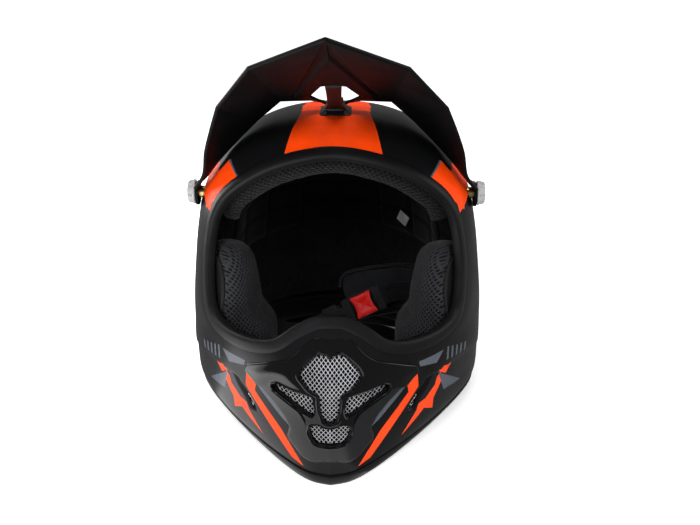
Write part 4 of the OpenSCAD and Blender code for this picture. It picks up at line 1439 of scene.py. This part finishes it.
def pad_seam(obj, side):
    """A sewn seam round the pad, between its inner face and its sides."""
    p = mesh_points(obj)
    y = np.abs((p[:, 1] - CHEEK_MID[0]) / CHEEK_HALF[0])
    z = np.abs((p[:, 2] - CHEEK_MID[1]) / CHEEK_HALF[1])
    r = (y ** CHEEK_SQUARE + z ** CHEEK_SQUARE) ** (1 / CHEEK_SQUARE)
    inner = np.abs(p[:, 0]) < 88
    dip = np.where(inner, 0.9 * np.exp(-((r - 0.9) / 0.03) ** 2), 0)
    p[:, 0] += side * dip
    set_points(obj, p)


right_pad = stuffed(cheek_pad())
pad_seam(right_pad, 1)
left_pad = mirrored(right_pad, "cheek_cushion_left")
left_pad.data.shade_smooth()
for pad, sign, pad_name in ((right_pad, 1, "right"), (left_pad, -1, "left")):
    weave(pad, lambda p, sign=sign: (p[:, 1] - sign * p[:, 0], p[:, 2]))
    stand_in(pad, "cheek_pad_" + pad_name, "root")


def roll(name, centres, wides, highs, material, half_wide, half_high, ends=5):
    """A long pad through centres, thinner at its ends, with its cloth's place stored."""
    m, turn = len(centres), turns(28)
    t = np.arange(m)
    end = np.clip(np.minimum(t, m - 1 - t) / ends, 0, 1)
    taper = np.maximum(np.sqrt(end * (2 - end)), 0.12)[:, None, None]
    rings = (centres[:, None]
             + taper * half_wide * np.cos(turn)[None, :, None] * wides[:, None]
             + taper * half_high * np.sin(turn)[None, :, None] * highs[:, None])
    obj = stuffed(loft(name, rings, material, False, 180), voxel=3.5, pressure=4.0, shrink=1.4,
                  cap=2.2)
    along = unit(np.gradient(centres, axis=0))
    length = travelled(centres)

    def place(p):
        """How far a point is along the pad and round it; the jump lies on its outer side."""
        near = np.array([int(np.argmin(((centres - q) ** 2).sum(1))) for q in p])
        arm = p - centres[near]
        wide = (arm * wides[near]).sum(1) / half_wide
        high = (arm * highs[near]).sum(1) / half_high
        return (length[near] + (arm * along[near]).sum(1),
                np.arctan2(high, wide) * (half_wide + half_high) / 2)

    weave(obj, place)
    return obj


def brow_pad():
    """The pad behind the eyeport's upper edge, which follows that edge's line for reach
    points to each side of the middle."""
    reach = 40
    order = np.arange(-reach, reach + 1) % len(eye_line)
    plain = skin(eye_s[order], eye_a[order])
    inward = unit(-eye_side[order] * (1, 0, 1))
    drop, depth = 10, 17
    centres = plain + inward * drop + np.array([0, depth, 0])
    back = np.tile([0.0, 1.0, 0.0], (len(order), 1))
    return roll("brow_cushion", centres, inward, back, brow_mesh_shaded, 11.5, 7.5)


def neck_roll():
    height, inset = s_at(22), 20
    a = np.radians(np.linspace(98, 262, 90))
    centres = skin(height, a, inset)
    out = centres - np.array([0, station(height)[WIDEST], 0])
    out[:, 2] = 0
    out = unit(out)
    up = np.tile([0.0, 0.0, 1.0], (len(a), 1))
    return roll("nape_cushion", centres, out, up, lining, 10, 12, 6)


brow = brow_pad()
stand_in(brow, "brow_pad", "root")
nape = neck_roll()
stand_in(nape, "neck_roll", "root")


def comfort_lining():
    """The quilted cap inside the foam: a sheet with sewn channels, thick between them."""
    outer, inner, thick = 31.0, 36.5, 3.2
    low_back, low_side, front_y, side_y, side_z = 112, 174, -18.75, 14.0, 180.0
    rib_angle, rings_per_station = math.radians(26), 1.15
    rows, cols = 70, 120
    scale = 1 - (outer + inner) / 2 / CROWN_Z
    s_lowest, s_side, s_top = s_at(low_back / scale), s_at(low_side / scale), LAST - 0.2
    # Where the sheet's edge runs: over the brow, and straight down behind the temples
    s_brow = np.linspace(s_side, s_top, 26)
    a_brow = from_side(np.full(26, front_y), station(s_brow)[:, HEIGHT])[1]
    side_a = float(from_side(side_y, side_z)[1])
    top, under = [], []
    for s in np.linspace(s_lowest, s_top, rows):
        first = side_a if s < s_side else np.interp(s, s_brow, a_brow)
        a = np.linspace(first, 2 * math.pi - first, cols)
        ribs = np.abs(((a - math.pi) / rib_angle) % 1.0 - 0.5) * 2
        rings = np.abs((s * rings_per_station) % 1.0 - 0.5) * 2
        puff = np.minimum(ramp(1 - ribs, 0, 0.22), ramp(1 - rings, 0, 0.2))
        puff = puff * np.clip(np.minimum(np.arange(cols), cols - 1 - np.arange(cols)) / 3, 0, 1)
        low = float(np.clip((s - s_lowest) * 8, 0, 1))
        top.extend(skin(s, a, outer + 0.4))
        under.extend(skin(s, a, inner - thick + thick * puff * low))
    faces = grid_faces(rows, cols)
    crown_point, last_row = len(top), (rows - 1) * cols
    faces += [(last_row + c, last_row + c + 1, crown_point) for c in range(cols - 1)]
    top.append((0, 18, CROWN_Z - outer - 1.5))
    under.append((0, 18, CROWN_Z - inner + 1.5))
    return slab("comfort_lining", np.array(top), np.array(under), faces, lining, 70)


cap_lining = comfort_lining()
stand_in(cap_lining, "comfort_liner", "root")


# ---- Chin strap and buckle ----

BUCKLE_POS = np.array([24, 5, 82.0])
BUCKLE_LEAN, BUCKLE_ROLL = math.radians(70), math.radians(25)
WEB_W, WEB_T, WEB_DROP = 17, 1.6, 3.15
RIGHT_ROUTE = [
    (117.3, 41, 59), (108, 33.5, 62), (96, 27, 71), (82, 25, 80.5), (64, 22, 88),
    (50, 14.5, 90.5),
]
LEFT_ROUTE = [
    (-38, 4, 55.5), (-52, 15, 54.5), (-70, 26, 56), (-90, 32, 58), (-108, 34, 59),
    (-117.3, 41, 59),
]
PAD_ROUTE = [(6, 14, 84), (22, 17, 88), (40, 21, 90), (60, 28, 89), (80, 32, 83),
             (97, 28.6, 75)]
PAD_W, PAD_T = 44, 5


def turned(p):
    """From the buckle's own directions to the helmet's."""
    p = np.asarray(p, float)
    x = p[..., 0] * math.cos(BUCKLE_ROLL) - p[..., 1] * math.sin(BUCKLE_ROLL)
    y = p[..., 0] * math.sin(BUCKLE_ROLL) + p[..., 1] * math.cos(BUCKLE_ROLL)
    z = p[..., 2]
    return np.stack([x, y * math.cos(BUCKLE_LEAN) - z * math.sin(BUCKLE_LEAN),
                     y * math.sin(BUCKLE_LEAN) + z * math.cos(BUCKLE_LEAN)], -1)


def buckle_point(p):
    return BUCKLE_POS + turned(p)


def band_frame(route, n, start, end):
    """A smooth route with the directions across and out of a flat band along it."""
    p = smooth_line(route, n)
    along = unit(np.gradient(p, axis=0))
    t = np.linspace(0, 1, len(p))[:, None]
    out = unit(np.cross(along, np.asarray(start) * (1 - t) + np.asarray(end) * t))
    return p, np.cross(out, along), out, travelled(p)


def webbing_band(name, route, start, end, n=7):
    p, side, out, length = band_frame(route, n, start, end)
    half, thick, edge = WEB_W / 2, WEB_T / 2, 0.6
    across = [-half + edge, -half / 2, 0, half / 2, half - edge]
    section = [(v, thick) for v in across] + [(half, thick * 0.35), (half, -thick * 0.35)]
    section += [(v, -thick) for v in across[::-1]] + [(-half, -thick * 0.35),
                                                      (-half, thick * 0.35)]
    rings = np.array([[c + s * u + o * w for u, w in section]
                      for c, s, o in zip(p, side, out)])
    obj = loft(name, rings, webbing, False, 35)
    tree = tree_of(p)

    def place(points):
        found = [tree.find(q)[1] for q in points]
        return length[found], ((points - p[found]) * side[found]).sum(1)

    weave(obj, place)
    return obj


def stitches(name, frame_of_band, places, offset, material):
    """Short raised threads across a band at the given lengths along it."""
    p, side, out, length = frame_of_band
    parts = []
    for at in places:
        k = int(np.argmin(np.abs(length - at)))
        for v in np.arange(-6.5, 6.6, 1.6):
            middle = p[k] + side[k] * v + out[k] * offset
            along = side[k] * 0.6
            path = np.array([middle - along, middle - along * 0.5 + out[k] * 0.25,
                             middle + along * 0.5 + out[k] * 0.25, middle + along])
            parts.append(pipe("stitch", path, np.tile(out[k], (4, 1)) + 0.01, 0.22, material, 6))
    return joined(name, parts)


across_buckle = turned((0, 1, 0))
UP = np.array([0, 0, 1.0])
right_route = RIGHT_ROUTE + [tuple(buckle_point((21, 0, 0))), tuple(buckle_point((13, 0, 0)))]
left_route = [tuple(buckle_point((x, 0, -WEB_DROP))) for x in (-20, -40, -57)] + LEFT_ROUTE
strap_right = webbing_band("webbing_right", right_route, UP, across_buckle)
strap_left = webbing_band("webbing_left", left_route, across_buckle, UP)
thread = woven("thread", (0.014, 0.0145, 0.016), 0.8)
right_frame = band_frame(right_route, 14, UP, across_buckle)
left_frame = band_frame(left_route, 14, across_buckle, UP)
for strap, node, where, routes in (
        (strap_right, "strap_right", (12, 15.5, 19), right_frame),
        (strap_left, "strap_left", (150, 153.5, 157), left_frame)):
    stand_in(strap, node, "chin_strap")
    for level in (1, -1):
        sewn = stitches(node + ("_stitches" if level > 0 else "_back_stitches"), routes, where,
                        level * WEB_T / 2, thread)
        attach(sewn, "chin_strap")


def strap_cushion():
    """The padded flap behind the buckle, rounded at its free end and piped round its edge."""
    p, side, out, length = band_frame(PAD_ROUTE, 10, across_buckle, UP)
    corner = 11.0
    turn = turns(32)
    across, upright = signed_power(np.cos(turn), 0.6), signed_power(np.sin(turn), 0.75)
    rings, edge = [], []
    for c, s, o, at in zip(p, side, out, length):
        near = min(at, length[-1] - at)
        half = PAD_W / 2 - 0.6
        if near < corner:
            half -= corner - math.sqrt(max(0.0, corner ** 2 - (corner - near) ** 2))
        half = max(half, 2.0)
        thick = PAD_T / 2 * (0.35 + 0.65 * min(1.0, near / 7) ** 0.5)
        rings.append([c + s * u + o * w for u, w in zip(half * across, thick * upright)])
        edge.append((c + s * half, c - s * half))
    rim_path = np.array([e[0] for e in edge] + [e[1] for e in edge[::-1]])
    return loft("strap_cushion", rings, side_cloth, False, 180), rim_path


cushion, cushion_rim = strap_cushion()
stuffed(cushion, voxel=2.6, pressure=3.0, shrink=0.6, cap=1.6)
stand_in(cushion, "strap_pad", "chin_strap")
rim_up = np.tile(turned((0, 0, 1)), (len(cushion_rim), 1)) + 0.01
piping = pipe("strap_cushion_piping", cushion_rim, rim_up, 1.25, webbing, 10)
weave(piping, lambda p: (p[:, 0], p[:, 2]))
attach(piping, "chin_strap")


def buckle_box(low, high, material, width):
    """A box with rounded edges in the buckle's own directions."""
    flat, faces = filled(rounded(box_corners(low[0], high[0], low[1], high[1]), 1.6, 4))
    top, under = [buckle_point(np.column_stack([flat, np.full(len(flat), z)]))
                  for z in (high[2], low[2])]
    return bevelled(slab("box", top, under, faces, material), width, 45)


def button():
    """The red key: pinched at both ends, with a shallow thumb dish."""
    half, reach, radius = 9.8, 29.0, 21.0
    y = np.linspace(-half, half, 22)
    pinch = np.minimum(half, reach - np.sqrt(radius ** 2 - y ** 2))
    outline = [(x, v) for x, v in zip(pinch, y)] + [(-x, v) for x, v in zip(pinch[::-1], y[::-1])]
    outline = rounded(outline, 0.5, 2)
    profile = [(0.9, 1.95), (0.985, 1.95), (1, 2.2), (1, 5.2), (0.985, 5.8), (0.95, 6.2),
               (0.88, 6.4), (0.7, 6.38), (0.56, 6.25), (0.42, 5.85), (0.26, 5.5), (0.1, 5.38),
               (0.01, 5.36)]
    rings = [buckle_point(np.column_stack([outline * k, np.full(len(outline), z)]))
             for k, z in profile]
    return loft("buckle_key", rings, red_plastic, False, 32)


def bar_across(x, z, reach, n, radius, material):
    """A thin raised bar across the buckle."""
    path = np.array([buckle_point((x, y, z)) for y in np.linspace(-reach, reach, n)])
    return pipe("bar", path, np.tile(turned((0, 0, 1)), (n, 1)), radius, material, 8)


frame_parts = [buckle_box((-18, -11, -4.6), (18, 11, -2.5), black_plastic, 0.6)]
frame_parts += [buckle_box((x, -11, -2.6), (x + 7, 11, 4.4), black_plastic, 1.1)
                for x in (-18, 11)]
frame_parts += [bar_across(x + dx, 4.35, 8, 12, 0.4, black_plastic)
                for x in (-14.5, 14.5) for dx in (-2, 0, 2)]
housing = joined("buckle_frame", frame_parts)
stand_in(housing, "buckle_housing", "chin_strap")
ribs = [bar_across(x, 6.3, 5, 9, 0.35, red_plastic) for x in (-5.6, 5.6)]
key = joined("buckle_key", [button()] + ribs)
stand_in(key, "buckle_button", "button")
tab = joined("buckle_tab", [
    buckle_box((-24, -5.5, -2.2), (2, 5.5, -0.7), black_plastic, 0.4),
    buckle_box((-37, -10.5, -5.4), (-23, 10.5, -0.7), black_plastic, 1.2)])
stand_in(tab, "buckle_tongue", "tongue")


# ---- Size tag ----

TAG_PLACE = np.array([61, 99, 133.0])


def size_tag():
    """A small plain woven tag that curls a little."""
    wide, high, thick, lines = 12.0, 12.0, 0.8, 17
    u, v = [k.ravel() for k in np.meshgrid(*[np.linspace(-0.5, 0.5, lines)] * 2)]
    curl = 0.5 * np.sin(3.1 * u) + 0.7 * (v + 0.5) ** 2
    flat = np.stack([u * wide, -curl, v * high], -1)
    lean = np.eye(3)
    for degrees, axis in ((-38, "Z"), (10, "X"), (30, "Y")):
        lean = lean @ np.array(Matrix.Rotation(math.radians(degrees), 3, axis))
    top, under = [(flat + (0, y, 0)) @ lean.T + TAG_PLACE for y in (-thick / 2, thick / 2)]
    return slab("woven_tag", top, under, grid_faces(lines, lines), tag_cloth, 50)


tag = size_tag()
stand_in(tag, "size_tag", "root")


# ---- Chin foam ----

def chin_foam():
    """The CAD model's chin foam, with its tip drawn back as far as the shell's tip is."""
    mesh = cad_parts["eps_chin_liner"].data.copy()
    mesh.materials.clear()
    mesh.materials.append(foam)
    obj = placed("chin_foam", mesh)
    p = mesh_points(obj)
    front = ramp(-p[:, 1], 90, 120)
    low = 1 - ramp(p[:, 2], *CHIN_FADE)
    p[:, 1] += (CHIN_BLUNT + 1) * np.exp(-(p[:, 0] / CHIN_WIDTH) ** 2) * front * low
    set_points(obj, p)
    return obj


chin_block = chin_foam()
stand_in(chin_block, "eps_chin_liner", "root")


# ---- CAD parts that stay, each in its own material ----

KEPT = {
    foam: ["eps_crown_liner"],
    matt_plastic: ["cheek_plate_left", "cheek_plate_right"],
    plated: ["cheek_snaps_left", "cheek_snaps_right", "strap_plate_left", "strap_plate_right",
             "strap_rivet_left", "strap_rivet_right", "buckle_springs"],
    black_plastic: ["visor_centre_screw"],
    brass: ["crown_insert", "visor_insert_left", "visor_insert_right"],
    gloss_black: ["rear_vent_left", "rear_vent_right"],
}
EASED = ["visor_centre_screw", "strap_plate_left", "strap_plate_right",
         "strap_rivet_left", "strap_rivet_right", "visor_insert_left", "visor_insert_right"]
for material, names in KEPT.items():
    for node in names:
        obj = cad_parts[node]
        obj.data.materials.clear()
        obj.data.materials.append(material)
        if node in EASED:
            bevel(obj, 0.3, 2, 40)


# ---- Floor, lights and camera ----

def floor_sheet(name, x0, x1, y0, y1):
    """A part of the floor, between two places along X and two along Y."""
    mesh = bpy.data.meshes.new(name)
    corners = [(x, y, -0.0002) for x, y in box_corners(x0, x1, y0, y1)]
    mesh.from_pydata(corners, [], [(0, 1, 2, 3)])
    mesh.materials.append(floor_paint)
    obj = placed(name, mesh)
    return obj


def floor_look():
    """White that glows a little, as a lit backdrop does, dimmer near the helmet, with a painted
    pool of extra glow on the left. Under the helmet it is painted near black as painted shade and
    does not glow, so that no light comes up through the neck opening."""
    p = Paint("floor_paint", (0.9, 0.9, 0.9), 0.9)
    p.roughness(p.spread(p.noise(3.0), 0.3, 0.7, 0.85, 0.95))
    x, y, _ = p.split(p.place)
    far = p.math("SQRT", p.plus(p.math("POWER", x, 2.0), p.math("POWER", y, 2.0)))
    # A painted pool of extra glow on the floor's left, near the helmet
    left = p.times(p.spread(x, -0.08, -0.3, 0.0, 2.2), p.spread(far, 0.9, 0.4, 0.0, 1.0))
    glow = p.plus(p.spread(far, 0.25, 0.9, 0.4, 0.8), left)
    # The ellipse under the helmet that is painted near black as its shade
    half_x, half_y, middle_y = 0.102, 0.145, 0.028
    u = p.math("POWER", p.math("DIVIDE", x, half_x), 2.0)
    v = p.math("POWER", p.math("DIVIDE", p.minus(y, middle_y), half_y), 2.0)
    clear = p.spread(p.plus(u, v), 0.85, 1.0)
    p.feed(p.shader.inputs["Emission Strength"], p.times(clear, glow))
    p.color(p.mix(clear, (0.01, 0.01, 0.01), (0.9, 0.9, 0.9)))
    p.shader.inputs["Emission Color"].default_value = (1, 1, 1, 1)
    return p.mat


floor_paint = floor_look()
# Only the left front part of the floor shows in the shell's satin sides
FLOOR_HALF = 6.0
FLOOR_SPLIT_X, FLOOR_SPLIT_Y = 0.03, -0.02
floor_sheet("floor_left", -FLOOR_HALF, FLOOR_SPLIT_X, -FLOOR_HALF, FLOOR_SPLIT_Y)
for name, x0, y0, y1 in (("floor_right", FLOOR_SPLIT_X, -FLOOR_HALF, FLOOR_SPLIT_Y),
                         ("floor_back", -FLOOR_HALF, FLOOR_SPLIT_Y, FLOOR_HALF)):
    floor_sheet(name, x0, FLOOR_HALF, y0, y1).visible_glossy = False


def lamp(name, place, aim, size, power):
    data = bpy.data.lights.new(name, "AREA")
    data.shape = "RECTANGLE"
    data.size, data.size_y = size
    data.energy = power
    obj = placed(name, data)
    obj.location = place
    obj.rotation_euler = (Vector(aim) - Vector(place)).to_track_quat("-Z", "Y").to_euler()
    return obj


world = bpy.data.worlds.new("studio")
bpy.context.scene.world = world
world.use_nodes = True
world.node_tree.nodes["Background"].inputs["Color"].default_value = (1, 1, 1, 1)
world.node_tree.nodes["Background"].inputs["Strength"].default_value = 0.24
# Name, place, height it faces over the middle, size, power, and whether gloss shows it
for name, place, height, size, power, shows in (
        ("left", (-1.0, 0.8, 0.4), 0.15, (0.6, 0.7), 7, True),
        ("front_left", (-0.7, -1.4, 0.95), 0.2, (0.9, 0.6), 22, False),
        ("front_right", (0.8, -1.4, 0.95), 0.2, (0.9, 0.6), 12, False),
        ("front", (0.0, -1.3, 1.3), 0.18, (1.3, 0.5), 5, False),
        ("right", (1.3, 0.2, 0.6), 0.12, (0.6, 0.8), 3, True),
        ("top", (0.0, 0.1, 1.5), 0.15, (1.1, 0.3), 10, True)):
    lamp(name, place, (0, 0, height), size, power).visible_glossy = shows

camera_data = bpy.data.cameras.new("camera")
camera_data.sensor_fit = "HORIZONTAL"
camera_data.sensor_width = 36
camera_data.lens = 51.28
camera_data.clip_start = 0.02
camera = placed("camera", camera_data)
target = Vector((0.0113, 0.031, 0.112))
yaw, elevation, distance = math.radians(1.1), math.radians(20), 0.9
back = Vector((math.sin(yaw) * math.cos(elevation), -math.cos(yaw) * math.cos(elevation),
               math.sin(elevation)))
camera.location = target + back * distance
camera.rotation_euler = (-back).to_track_quat("-Z", "Y").to_euler()
bpy.context.scene.camera = camera
bpy.context.scene.view_settings.view_transform = "Standard"
